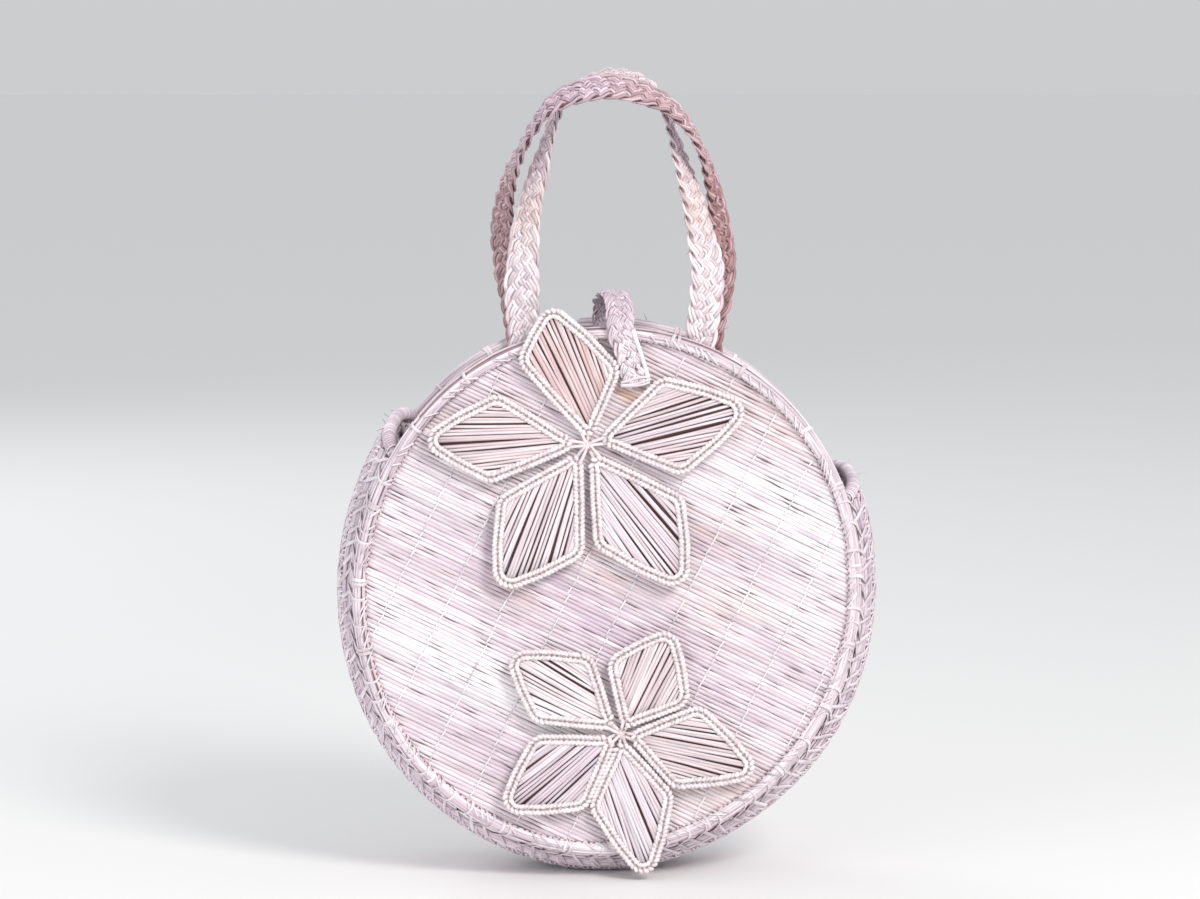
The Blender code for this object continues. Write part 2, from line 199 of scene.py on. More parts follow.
class StrawWork:
    def __init__(self, seed):
        self.pick = np.random.default_rng(seed)
        self.points, self.faces = [], []
        self.fibres, self.tints, self.unders = [], [], []
        self.count = 0

    def strand(self, route, out, width, thick, sides=5, tint=(0, 0, 0), closed=False, paintedShade=0.0,
               bothFaces=False):
        # a straw along a route: width lies square to the route and to out, thick lies along out
        route = np.asarray(route, float)
        rings = len(route)
        travel = loopTravel(route) if closed else unit(np.gradient(route, axis=0))
        out = square(out, travel)
        aside = np.cross(out, travel)
        turns, grow = math.pi / 2 + 2 * math.pi * np.arange(sides) / sides, 1.0
        if sides == 4:  # a flat straw lies on its flat side
            turns, grow = turns - math.pi / 4, math.sqrt(2)
        halfWide = np.broadcast_to(np.asarray(width, float) / 2 * grow, rings)
        halfThick = np.broadcast_to(np.asarray(thick, float) / 2 * grow, rings)
        wide = halfWide[:, None] * np.cos(turns)
        deep = halfThick[:, None] * np.sin(turns)
        points = route[:, None] + aside[:, None] * wide[..., None] + out[:, None] * deep[..., None]
        run = lengthAlong(route)
        fibre = np.zeros((rings, sides, 3))
        fibre[..., 0] = run[:, None] + self.pick.random() * 3
        fibre[..., 1] = wide
        fibre[..., 2] = self.pick.random()
        # painted shade: under darkens each strand towards its finish's Shadow colour where it turns away
        # from out, or at both edges with bothFaces, and the painted shade share adds shade over the whole
        # strand, for cores, backings and holes that lie in shade
        turned = 1 - np.abs(np.sin(turns)) if bothFaces else (1 - np.sin(turns)) / 2
        under = np.broadcast_to(turned, (rings, sides))
        under = under + (1 - under) * np.asarray(paintedShade).reshape(-1, 1)
        tint = np.broadcast_to(np.asarray(tint, float), (rings, 3))
        self.points.append(points.reshape(-1, 3))
        self.fibres.append(fibre.reshape(-1, 3))
        self.unders.append(under.reshape(-1))
        self.tints.append(np.repeat(tint, sides, 0))
        ring = np.arange(rings if closed else rings - 1)[:, None] * sides
        ahead = (ring + sides) % (rings * sides)
        near = np.arange(sides)[None]
        far = (near + 1) % sides
        quads = np.stack([ring + near, ring + far, ahead + far, ahead + near], -1).reshape(-1, 4)
        self.faces.append(quads + self.count)
        if not closed:
            first = np.arange(sides)[::-1][None]
            last = (rings - 1) * sides + np.arange(sides)[None]
            self.faces.append(np.concatenate([first, last]) + self.count)
        self.count += rings * sides

    def hole(self, route, out, width):
        # a short straw in full painted shade, standing in for the shade inside a hole
        self.strand(route, out, width, 0.0006, 5, (0, 0, 0.2), False, 1.0)

    def make(self, name, finish, nodes, floor=None):
        points = np.concatenate(self.points)
        if floor is not None:  # pressed flat where it stands
            height = points[:, 2]
            pressed = floor + (height - floor) * 0.02
            points[:, 2] = np.maximum(np.where(height < floor, pressed, height), 0.0)
        sizes = np.concatenate([np.full(len(part), part.shape[1]) for part in self.faces])
        corners = np.concatenate([part.ravel() for part in self.faces])
        starts = np.concatenate([[0], np.cumsum(sizes)[:-1]])
        mesh = bpy.data.meshes.new(name)
        mesh.vertices.add(len(points))
        mesh.vertices.foreach_set("co", points.ravel())
        mesh.loops.add(len(corners))
        mesh.loops.foreach_set("vertex_index", corners.astype(np.int32))
        mesh.polygons.add(len(sizes))
        mesh.polygons.foreach_set("loop_start", starts.astype(np.int32))
        mesh.update(calc_edges=True)
        for label, kind, part, values in (
            ("fibre", "FLOAT_VECTOR", "vector", self.fibres),
            ("tint", "FLOAT_VECTOR", "vector", self.tints),
            ("under", "FLOAT", "value", self.unders),
        ):
            layer = mesh.attributes.new(label, kind, "POINT")
            layer.data.foreach_set(part, np.concatenate(values).ravel())
        mesh.shade_smooth()
        mesh.materials.append(finish)
        piece = addObject(name, mesh)
        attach(piece, "root")
        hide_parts(*nodes)
        triangles = int((sizes - 2).sum())
        trianglesMade.append(triangles)
        print("made", name, triangles, "triangles")


trianglesMade = []


# materials

colourSockets = ("Base", "Bleached", "Lilac", "Tan", "Shadow")
valueSockets = ("Strand Contrast", "Streak Contrast", "Under Shade", "Fleck", "Dry Roughness")


def strawFibreGroup():
    # dyed straw: each strand its own tone, fine streaks along it, and painted shade towards the Shadow
    # colour where it turns under
    tree = bpy.data.node_groups.new("strawFibre", "ShaderNodeTree")
    for way, kind, names in (("INPUT", "Color", colourSockets), ("INPUT", "Float", valueSockets),
                             ("OUTPUT", "Color", ("Color",)), ("OUTPUT", "Float", ("Roughness", "Height"))):
        for name in names:
            tree.interface.new_socket(name=name, in_out=way, socket_type="NodeSocket" + kind)
    given = tree.nodes.new("NodeGroupInput").outputs
    result = tree.nodes.new("NodeGroupOutput").inputs

    def fill(node, sockets, values):
        # set or link these inputs of a node, and pass on its outputs
        for socket, value in zip(sockets, values):
            if isinstance(value, (int, float)):
                node.inputs[socket].default_value = value
            else:
                tree.links.new(value, node.inputs[socket])
        return node.outputs

    def maths(operation, first, second, clamp=False):
        node = tree.nodes.new("ShaderNodeMath")
        node.operation = operation
        node.use_clamp = clamp
        return fill(node, (0, 1), (first, second))[0]

    def mix(factor, first, second, blend="MIX"):
        node = tree.nodes.new("ShaderNodeMix")
        node.data_type = "RGBA"
        node.blend_type = blend
        return fill(node, (0, 6, 7), (factor, first, second))[2]

    def noise(detail, roughness, *scales):
        scaled = [maths("MULTIPLY", value, scale) for value, scale in scales]
        spot = fill(tree.nodes.new("ShaderNodeCombineXYZ"), range(3), scaled)[0]
        return fill(tree.nodes.new("ShaderNodeTexNoise"), ("Vector", "Scale", "Detail", "Roughness"),
                    (spot, 1.0, detail, roughness))["Fac"]

    def attribute(name, output):
        node = tree.nodes.new("ShaderNodeAttribute")
        node.attribute_name = name
        return node.outputs[output]

    def parts(name):
        return fill(tree.nodes.new("ShaderNodeSeparateXYZ"), (0,), (attribute(name, "Vector"),))

    def aroundZero(value, contrast):
        return maths("MULTIPLY", maths("SUBTRACT", value, 0.5), contrast)

    run, across, pick = parts("fibre")
    bleach, lilac, tan = parts("tint")
    streak = noise(3.0, 0.6, (run, 45.0), (across, 2600.0), (pick, 131.0))
    drift = noise(2.0, 0.5, (run, 26.0), (pick, 67.0))
    colour = given["Base"]
    for factor, dye in ((bleach, "Bleached"), (lilac, "Lilac"), (tan, "Tan")):
        colour = mix(factor, colour, given[dye])
    for offBy, dye in ((maths("SUBTRACT", drift, 0.52), "Bleached"),
                       (maths("SUBTRACT", 0.44, drift), "Lilac")):
        fleck = maths("MULTIPLY", maths("MULTIPLY", offBy, 7.0, True), given["Fleck"])
        colour = mix(fleck, colour, given[dye])
    bright = 1.0
    for value, contrast in ((pick, "Strand Contrast"), (streak, "Streak Contrast"),
                            (drift, "Streak Contrast")):
        bright = maths("ADD", aroundZero(value, given[contrast]), bright)
    grey = fill(tree.nodes.new("ShaderNodeCombineColor"), range(3), [bright] * 3)[0]
    colour = mix(1.0, colour, grey, "MULTIPLY")
    # painted shade: the under value mixes the colour towards Shadow, as strong as Under Shade
    under = maths("POWER", attribute("under", "Fac"), 1.6)
    colour = mix(maths("MULTIPLY", under, given["Under Shade"], True), colour, given["Shadow"])
    rough = maths("ADD", given["Dry Roughness"], aroundZero(streak, 0.35), True)
    for name, value in (("Color", colour), ("Roughness", rough), ("Height", streak)):
        tree.links.new(value, result[name])
    return tree


strawFibre = strawFibreGroup()


def strawMaterial(name, look):
    finish = bpy.data.materials.new(name)
    finish.use_nodes = True
    tree = finish.node_tree
    shader = tree.nodes["Principled BSDF"]
    shader.inputs["Specular IOR Level"].default_value = look["specular"]
    fibres = tree.nodes.new("ShaderNodeGroup")
    fibres.node_tree = strawFibre
    for socket in colourSockets:
        fibres.inputs[socket].default_value = (*look[socket], 1)
    for socket in valueSockets:
        fibres.inputs[socket].default_value = look[socket]
    bump = tree.nodes.new("ShaderNodeBump")
    bump.inputs["Strength"].default_value = look["bump"]
    bump.inputs["Distance"].default_value = 0.0003
    for source, output, target, socket in (
        (fibres, "Color", shader, "Base Color"),
        (fibres, "Roughness", shader, "Roughness"),
        (fibres, "Height", bump, "Height"),
        (bump, "Normal", shader, "Normal"),
    ):
        tree.links.new(source.outputs[output], target.inputs[socket])
    return finish


plainStraw = {
    "Base": (0.84, 0.72, 0.765),
    "Bleached": (0.96, 0.92, 0.94),
    "Lilac": (0.64, 0.51, 0.61),
    "Tan": (0.74, 0.50, 0.38),
    "Shadow": (0.16, 0.07, 0.07),
    "Strand Contrast": 0.20,
    "Streak Contrast": 0.40,
    "Under Shade": 0.85,
    "Fleck": 0.35,
    "Dry Roughness": 0.52,
    "specular": 0.35,
    "bump": 0.35,
}

# what each finish changes in the plain straw
straws = {
    "splint": {
        "Base": (0.815, 0.70, 0.745), "Shadow": (0.09, 0.045, 0.05), "Strand Contrast": 0.20,
        "Fleck": 0.55, "Under Shade": 0.80},
    "rimStraw": {"Base": (0.80, 0.67, 0.72), "Strand Contrast": 0.32, "Streak Contrast": 0.55},
    "coilStraw": {"Base": (0.82, 0.70, 0.76), "Strand Contrast": 0.3},
    "lashing": {"Base": (0.82, 0.71, 0.75)},
    "braidPale": {"Base": (0.82, 0.70, 0.735), "Strand Contrast": 0.34},
    "braidMauve": {
        "Base": (0.44, 0.225, 0.21), "Bleached": (0.84, 0.67, 0.73), "Lilac": (0.58, 0.42, 0.51),
        "Shadow": (0.07, 0.03, 0.03), "Strand Contrast": 0.55, "Under Shade": 1.0},
    "petalCord": {"Base": (0.85, 0.74, 0.765), "Under Shade": 0.66, "Streak Contrast": 0.25},
    "petalStraw": {
        "Base": (0.81, 0.67, 0.69), "Tan": (0.70, 0.47, 0.44), "Shadow": (0.09, 0.035, 0.035),
        "Under Shade": 0.97, "Fleck": 0.35},
}
finishes = {name: strawMaterial(name, plainStraw | look) for name, look in straws.items()}
print("materials ready")


# the two faces: parallel splints, held by rows of stitches

panel = {
    "pitch": 0.0026,
    "width": 0.0026,
    "thickness": 0.0018,
    "slope": math.radians(-26.0),
    "step": 0.005,
    "endInset": 0.0028,  # how far from the rim's middle line a splint ends
    "jitter": 0.00012,
    "wave": 0.00010,
    "lift": 0.00018,
    "dashDepth": 0.56,  # how much a splint narrows where a dash of painted shade shows beside it
    "jointShade": 0.66,
    "jointThickness": 0.0007,
    "dyeShift": 10.0,  # in mm
    "stitchSpacing": 0.033,
    "stitchWidth": 0.0009,
    "stitchThickness": 0.0006,
}

# softly dyed places of the front: across and up from the middle, half length along the splints,
# half width, all in mm, then how much bleached, lilac and tan
dyedPlaces = (
    (112, 50, 60, 26, 0.9, 0, 0),
    (-100, -45, 55, 22, 0.9, 0, 0),
    (-30, -75, 50, 16, 0.8, 0, 0),
    (100, -10, 50, 14, 0.7, 0, 0),
    (-105, 60, 40, 18, 0.6, 0, 0),
    (-70, 20, 55, 16, 0, 0.6, 0),
    (0, -20, 60, 18, 0, 0.7, 0),
    (-80, -90, 50, 14, 0, 0.5, 0),
    (70, 20, 50, 12, 0, 0.5, 0),
    (95, 110, 50, 16, 0, 0.3, 0.2),
    (18, 118, 14, 10, 0, 0, 0.9),
    (30, -120, 50, 12, 0.5, 0, 0.1),
    (66, -122, 40, 13, 0.2, 0, 0.3),
    (-56, 0, 15, 12, 0, 0, 0.32),
    (-3, 17, 12, 14, 0, 0, 0.32),
    (60, 32, 14, 16, 0, 0, 0.25),
    (-95, 105, 24, 10, 0, 0, 0.18),
    (84, -12, 24, 20, 0, 0, 0.2),
    (60, -60, 45, 9, 0, 0.45, 0),
    (118, -45, 34, 8, 0, 0.4, 0),
    (-60, 95, 40, 10, 0.3, 0.2, 0),
)


stray = {"shortest": 0.002, "longest": 0.005, "width": 0.0005, "thickness": 0.0003, "spread": 0.5,
         "curl": 0.25, "lowest": 0.0006}


def strayFibres(work, spots, directions, count, tint=(0.2, 0, 0.1)):
    # a few thin broken ends standing off: spots and directions to pick from
    for index in work.pick.choice(len(spots), count, replace=False):
        heading = unit(directions[index] + work.pick.normal(0, stray["spread"], 3))
        curl = work.pick.normal(0, stray["curl"], 3)
        share = np.linspace(0, 1, 6)[:, None]
        length = work.pick.uniform(stray["shortest"], stray["longest"])
        route = spots[index] + (heading * share + curl * share ** 2) * length
        route[:, 2] = np.maximum(route[:, 2], stray["lowest"])
        width = stray["width"] * (1 - share[:, 0] * 0.65)
        work.strand(route, np.cross(heading, [0.3, 0.2, 0.9]), width, stray["thickness"], 4, tint)


def panelTint(spots, shift):
    # shift moves the edge of each dyed place along its own splint, in mm
    along, aside = headings(panel["slope"])
    tint = np.zeros((len(spots), 3))
    for x, y, halfLength, halfWidth, *dyes in dyedPlaces:
        off = spots * 1000 - (x, y)
        far = ((off @ along + shift) / halfLength) ** 2 + (off @ aside / halfWidth) ** 2
        tint += np.exp(-far)[:, None] * dyes
    return np.clip(tint, 0, 1)


def insideFace(spots, side, inset):
    across, up = (spots * (-side, 1) / halfSize).T
    return np.hypot(across, up) < outlineShare(np.arctan2(up, across), 0) - inset / halfSize.mean()


def makePanel(side, name, node, seed):
    work = StrawWork(seed)
    matrix, out = faceFrame(side)
    along, aside = headings(panel["slope"])
    flip = -side  # the back is dyed the other way up
    reach = halfSize.max() * 1.05
    count = int(reach / panel["pitch"])
    fine = np.arange(-reach, reach, 0.0005)
    for index in range(-count, count + 1):
        offset = index * panel["pitch"] + work.pick.normal(0, panel["jitter"])
        inside = fine[insideFace(fine[:, None] * along + offset * aside, side, panel["endInset"])]
        if len(inside) < 16:
            continue
        steps = max(3, int((inside[-1] - inside[0]) / panel["step"]))
        run = np.linspace(inside[0], inside[-1], steps + 1)
        phase = work.pick.random(4) * 2 * math.pi
        wave = panel["wave"] * (np.sin(run * 90 + phase[0]) + np.sin(run * 37 + phase[1]))
        spot = run[:, None] * along + (offset + wave)[:, None] * aside
        lift = panel["lift"] * np.sin(run * 61 + phase[2])
        thin = np.clip(np.sin(run * 83 + phase[3]) + 0.9 * np.sin(run * 231 + phase[2]) - 0.90, 0, 1)
        width = panel["width"] * (1.15 - panel["dashDepth"] * thin) * (1 - 0.06 * work.pick.random())
        tint = panelTint(spot * flip, work.pick.normal(0, panel["dyeShift"]))
        tint = np.clip(tint * (0.75 + 0.5 * work.pick.random()) * (1, 1, 0.7 + 0.3 * flip), 0, 1)
        work.strand(placeFlat(matrix, spot, lift), out, width, panel["thickness"], 6, tint)
        # a thin straw behind the joint beside it, so that the gap isn't see-through; its colour is painted
        # shade, darkest at the dashes, standing in for the shade down in the gap
        joint = run[:, None] * along + (offset + panel["pitch"] / 2) * aside
        dash = np.clip(panel["jointShade"] + 1.8 * thin, 0, 1)
        work.strand(placeFlat(matrix, joint, -0.0001), out, panel["pitch"] * 0.5,
                    panel["jointThickness"], 4, (0, 0.1, 0.25), False, dash)
    # rows of stitches square to the splints, each a thin straw that dips between them
    rows = int(reach / panel["stitchSpacing"])
    for row in range(-rows, rows + 1):
        at = (row + 0.35) * panel["stitchSpacing"]
        inside = fine[insideFace(at * along + fine[:, None] * aside, side, rimRadius + 0.001)]
        if len(inside) < 40:
            continue
        start = inside[0]
        while start < inside[-1] - 0.004:
            end = min(start + panel["pitch"] * work.pick.choice([2, 2, 3, 4]), inside[-1])
            run = np.linspace(start, end, 5)
            across = at + work.pick.normal(0, 0.0003) + 0.0004 * np.linspace(-1, 1, 5)
            spot = across[:, None] * along + run[:, None] * aside
            lift = panel["thickness"] / 2 - 0.0002 + 0.0005 * np.sin(np.linspace(0, math.pi, 5))
            for face in (1, -1):
                work.strand(placeFlat(matrix, spot, lift * face), out * face, panel["stitchWidth"],
                            panel["stitchThickness"], 4, (0.9, 0, 0))
            start = end + panel["pitch"] * 0.35
    work.make(name, finishes["splint"], [node])


makePanel(-1, "frontPanelSplints", "front_panel", 11)
makePanel(1, "backPanelSplints", "back_panel", 12)


# rims: long straws laid round a hoop and wrapped

rim = {
    "straws": 13,
    "laneRadius": 0.0034,
    "strawWidth": 0.0027,
    "strawThickness": 0.0016,
    "coreWidth": 0.0062,
    "samples": 220,
    "step": 0.005,
    "holePitch": 0.0039,
    "wrapSpacing": 0.048,
    "wrapWidth": 0.0024,
    "wrapThickness": 0.0005,
    "twist": 1 / (2 * math.pi),  # how far the straws turn round the rim on their way round the hoop
}


def hoopFrame(side, angle):
    # middle of the rim, and the directions out from its middle and out of the face
    middle = facePoint(side, angle)
    axial = np.broadcast_to(faceFrame(side)[1], middle.shape)
    return middle, square(outward(angle), axial), axial


def makeRim(side, name, node, seed):
    work = StrawWork(seed)
    angles = np.linspace(0, 2 * math.pi, rim["samples"], endpoint=False)
    hoop, hoopRadial, hoopAxial = hoopFrame(side, angles)
    # the hoop's core, given painted shade where it shows between the straws
    work.strand(hoop, hoopAxial, rim["coreWidth"], rim["coreWidth"], 8, (0, 0.3, 0), True, 0.8)
    arc = halfSize.mean()
    for lane in range(rim["straws"]):
        start = work.pick.random() * 2 * math.pi
        laid = 0.0
        while laid < 2 * math.pi:
            length = min(work.pick.uniform(0.9, 2.0), 2 * math.pi - laid + 0.15)
            count = max(6, int(length * arc / rim["step"]))
            turns = np.linspace(start + laid - 0.06, start + laid + length, count)
            middle, radial, axial = hoopFrame(side, turns)
            share = (turns - turns[0]) / (turns[-1] - turns[0])
            lean = 2 * math.pi * lane / rim["straws"] + rim["twist"] * turns
            lean = lean + 0.10 * np.sin(turns * 7 + lane) + work.pick.normal(0, 0.05)
            radius = rim["laneRadius"] + 0.00012 * np.sin(turns * 23 + lane * 2)
            radius = radius + 0.0001 * work.pick.random() - 0.0006 * np.exp(-share * 40)
            spoke = around(radial, axial, lean)
            pale = work.pick.random()
            tint = (0.5 * pale if pale > 0.55 else 0.0, max(0.0, 0.5 - 1.43 * pale), 0)
            width = rim["strawWidth"] * work.pick.uniform(0.85, 1.1)
            work.strand(middle + spoke * radius[:, None], spoke, width, rim["strawThickness"], 5, tint)
            laid += length
    # sparse wraps, one or two turns together
    wrapAt = work.pick.random() * 0.1
    while wrapAt < 2 * math.pi:
        for turn in range(work.pick.choice([1, 1, 2])):
            wrapHoop(work, side, wrapAt + turn * rim["wrapWidth"] * 1.05 / arc)
        wrapAt += rim["wrapSpacing"] * work.pick.uniform(0.75, 1.2) / arc
    # small stitches that hold the splints' ends to the hoop: painted shade at each stitch hole, and a few
    # slanted straws over the rim
    count = int(2 * math.pi * arc / rim["holePitch"])
    for angle in (np.arange(count) + work.pick.uniform(-0.2, 0.2, count)) * 2 * math.pi / count:
        length = rim["holePitch"] * work.pick.uniform(0.2, 0.42)
        turns = angle + np.array([-0.5, 0, 0.5]) * length / arc
        # painted shade at a stitch hole
        work.hole(facePoint(side, turns, rimRadius * 0.86, rimRadius * 0.66), hoopAxial[0], 0.0008)
        if work.pick.random() < 0.4:
            slant = np.linspace(0, work.pick.uniform(0.004, 0.012), 5) / arc
            inset = rimRadius * np.linspace(1.05, -0.2, 5)
            rise = np.sqrt(np.clip(rimRadius ** 2 - inset ** 2, 0, 1)) + 0.0002
            spot = facePoint(side, angle + slant, inset, rise)
            work.strand(spot, hoopAxial[0], 0.0012, 0.0006, 5, (work.pick.uniform(0.1, 0.8), 0, 0))
    strayFibres(work, hoop + hoopRadial * rimRadius * 0.9, hoopRadial, 8)
    work.make(name, finishes["rimStraw"], [node])


def wrapHoop(work, side, angle):
    turns = np.linspace(0, 2 * math.pi, 18, endpoint=False)
    slant = work.pick.normal(0.006, 0.004)
    middle, radial, axial = hoopFrame(side, angle + slant * np.sin(turns))
    spoke = around(radial, axial, turns)
    route = middle + spoke * (rimRadius - rim["wrapThickness"] / 2 + 0.0001)
    pale = work.pick.uniform(0.0, 0.5)
    width = rim["wrapWidth"] * work.pick.uniform(0.8, 1.1)
    work.strand(route, spoke, width, rim["wrapThickness"], 4, (pale, 0, 0), True)


makeRim(-1, "frontRimStraws", "front_rim", 21)
makeRim(1, "backRimStraws", "back_rim", 22)


# coiled side wall: rows of straw, lashed row to row, and its whipped ends

coil = {
    "straws": 9,
    "strawWidth": 0.0028,
    "strawThickness": 0.0015,
    "coreThickness": 0.0052,
    "samples": 150,
    "lashSpacing": 0.0095,
    "lashWidth": 0.0023,
    "lashThickness": 0.0005,
    "beadJoints": (2, 4, 6, 8),
    "beadPitch": 0.0028,
    "beadLength": 0.0046,
    "beadWidth": 0.0017,
    "beadThickness": 0.0012,
    "rimLashSpacing": 0.0130,
    "rimLashWidth": 0.0026,
}


def coilRow(row, angle):
    # middle of a row of the wall, directions out of the bag and towards the back, and its radii
    share = (row + 0.5) / wall["rows"]
    near = wallPoint(angle, share - 0.5 / wall["rows"])
    far = wallPoint(angle, share + 0.5 / wall["rows"])
    travel = unit(np.stack([-halfSize[0] * np.sin(angle), 0 * angle, halfSize[1] * np.cos(angle)], -1))
    backward = square(unit(far - near), travel)
    out = np.cross(travel, backward)
    out = out * np.sign((out * outward(angle)).sum(-1, keepdims=True))
    return wallPoint(angle, share), out, backward, np.linalg.norm(far - near, axis=-1) / 2


def makeCoils():
    work = StrawWork(31)
    for row in range(wall["rows"]):
        angles = np.linspace(*wallEnds((row + 0.5) / wall["rows"]), coil["samples"])
        middle, out, backward, half = coilRow(row, angles)
        # a core under the straws, given painted shade where it shows between them
        work.strand(middle, out, half * 1.5, coil["coreThickness"], 6, (0, 0.4, 0), False, 0.8)
        for lane in range(coil["straws"]):
            lean = 2 * math.pi * lane / coil["straws"] + 0.9 * angles + 0.12 * np.sin(angles * 9 + lane)
            wobble = 0.00015 * np.sin(angles * 31 + lane * 3 + row)
            wide = half - coil["strawThickness"] / 2 + wobble
            high = wall["thickness"] / 2 - coil["strawThickness"] / 2 + 0.0002 + wobble
            spoke = around(backward * wide[:, None], out * high[:, None], lean)
            pale = work.pick.random()
            tint = (0.5 if pale > 0.75 else 0.0, 0.6 if pale < 0.3 else 0.1, 0)
            work.strand(middle + spoke, spoke, coil["strawWidth"], coil["strawThickness"], 5, tint)
    work.make("gussetCoils", finishes["coilStraw"], ["gusset"], 0.0004)


def lashPair(work, near, far, width, tint):
    # a flat straw pulled round two neighbours, each given as middle, out and its two radii
    turns = np.linspace(0, math.pi, 8)
    joining = unit(far[0] - near[0])
    lift = square(near[1], joining)
    nearArc = around(lift * near[2][1], -joining * near[2][0], turns)
    farArc = around(-lift * far[2][1], joining * far[2][0], turns)
    route = np.concatenate([near[0] + nearArc, far[0] + farArc])
    work.strand(route, np.concatenate([nearArc, farArc]), width, coil["lashThickness"], 4, tint, True)


def makeLashings():
    work = StrawWork(32)
    grow = coil["lashThickness"] / 2
    # between neighbouring rows
    for row in range(wall["rows"] - 1):
        left, right = wallEnds((row + 1.0) / wall["rows"])
        spacing = coil["lashSpacing"] / halfSize.mean()
        angle = left + spacing * (0.6 + 0.5 * (row % 2))
        while angle < right - 0.02:
            slant = work.pick.normal(0.030, 0.008)
            ends = []
            for one, at in ((row, angle - slant / 2), (row + 1, angle + slant / 2)):
                middle, out, _, half = coilRow(one, np.array([at]))
                ends.append((middle[0], out[0], (half[0] - 0.0004, wall["thickness"] / 2 + 0.0001 + grow)))
            pale = work.pick.uniform(0.0, 0.5)
            lilac = work.pick.choice([0.0, 0.3, 0.6])
            lashPair(work, *ends, coil["lashWidth"] * work.pick.uniform(0.8, 1.15), (pale, lilac, 0))
            angle += spacing * work.pick.uniform(0.8, 1.25)
    # close bead-like stitches down some of the joints
    for joint in coil["beadJoints"]:
        share = joint / wall["rows"]
        left, right = wallEnds(share)
        angle = left + 0.01
        while angle < right - 0.01:
            reach = coil["beadLength"] / 2 / bag["baseDepth"]
            spots = wallPoint(angle + np.linspace(0, 0.008, 4), share + np.linspace(-reach, reach, 4))
            out = outward(angle)
            rise = wall["thickness"] / 2 + np.array([-0.0008, 0.0001, 0.0001, -0.0008])
            pale = work.pick.uniform(0.0, 0.9)
            work.strand(spots + out * rise[:, None], out, coil["beadWidth"], coil["beadThickness"], 5,
                        (pale, 0.1, 0))
            angle += coil["beadPitch"] * work.pick.uniform(0.9, 1.15) / halfSize.mean()
    # over each rim and the row beside it
    for side, row in ((-1, 0), (1, wall["rows"] - 1)):
        left, right = wallEnds(0.0 if side < 0 else 1.0)
        spacing = coil["rimLashSpacing"] / halfSize.mean()
        angle = left + spacing * 0.4
        while angle < right - 0.01:
            slant = work.pick.normal(0.05, 0.012)
            hoop, radial, _ = hoopFrame(side, np.array([angle + slant]))
            middle, out, _, half = coilRow(row, np.array([angle]))
            near = (hoop[0], radial[0], (rimRadius + grow + 0.0001, rimRadius + grow + 0.0001))
            far = (middle[0], out[0], (half[0] + grow, wall["thickness"] / 2 + 0.0003 + grow))
            lashPair(work, near, far, coil["rimLashWidth"] * work.pick.uniform(0.85, 1.1),
                     (work.pick.uniform(0.0, 0.7), 0, 0))
            angle += spacing * work.pick.uniform(0.7, 1.3)
    work.make("gussetLashings", finishes["lashing"], ["gusset"], 0.0002)


binding = {"thickness": 0.0086, "wrapPitch": 0.0021, "wrapThickness": 0.0010, "wrapSamples": 12,
           "wrapSlant": 0.0008, "rollWidth": 0.0015, "rollThickness": 0.0013}


def makeEndBinding(end, name, node, seed):
    work = StrawWork(seed)
    radius = binding["thickness"] / 2
    thick = binding["wrapThickness"]
    margin = radius / bag["baseDepth"]
    shares = np.linspace(margin, 1 - margin, 60)
    angles = wallEnds(shares)[end] + (-1, 1)[end] * (radius + bag["clearance"]) / halfSize[0]
    middle = wallPoint(angles, shares)
    run = lengthAlong(middle)
    out = outward(angles)
    core = (radius - thick) * 2
    # a core under the wraps, given painted shade where it shows between them
    work.strand(middle, out, core, core, 10, (0, 0.5, 0), False, 0.7)
    count = int(run[-1] / binding["wrapPitch"])
    turns = np.linspace(0, 2 * math.pi, binding["wrapSamples"], endpoint=False)
    slant = (binding["wrapSlant"] * np.sin(turns))[:, None]
    for turn in range(count + 1):
        at = run[-1] * turn / count
        near = np.clip([at, at + 0.004, at - 0.004], 0, run[-1])
        centre, ahead, behind = readAt(near, run, middle)
        travel = unit(ahead - behind)
        first = square(out[30], travel)
        spoke = around(first, np.cross(travel, first), turns)
        ends = 1 - 0.25 * (max(0, abs(2 * turn / count - 1) - 0.93) / 0.07) ** 2
        route = centre + spoke * (radius - thick / 2) * ends + travel * slant
        pale = work.pick.random()
        tint = (0.5 * pale, 0.5 if pale < 0.5 else 0.2, 0)
        work.strand(route, spoke, binding["wrapPitch"], thick, 5, tint, True)
    strayFibres(work, middle[4:-4] + out[4:-4] * radius * 0.9, out[4:-4], 5)
    turns = np.linspace(0, 4 * math.pi, 32)
    reach = (0.0007 + (radius - 0.0013) * turns / turns[-1])[:, None]
    for tip, way in ((0, -1), (-1, 1)):  # the straws rolled up at both ends of the roll
        travel = unit(middle[1] - middle[0]) if tip == 0 else unit(middle[-1] - middle[-2])
        first = square(out[tip], travel)
        route = middle[tip] + travel * way * 0.0005 + around(first, np.cross(travel, first), turns) * reach
        work.strand(route, travel * way, binding["rollWidth"], binding["rollThickness"], 6, (0.7, 0, 0))
    work.make(name, finishes["coilStraw"], [node])


makeCoils()
makeLashings()
makeEndBinding(0, "leftEndWhipping", "end_binding_left", 33)
makeEndBinding(1, "rightEndWhipping", "end_binding_right", 34)


# braided handles and closure strap

handle = {"rise": 0.1540, "halfSpread": 0.0700, "width": 0.0226, "thickness": 0.0070}

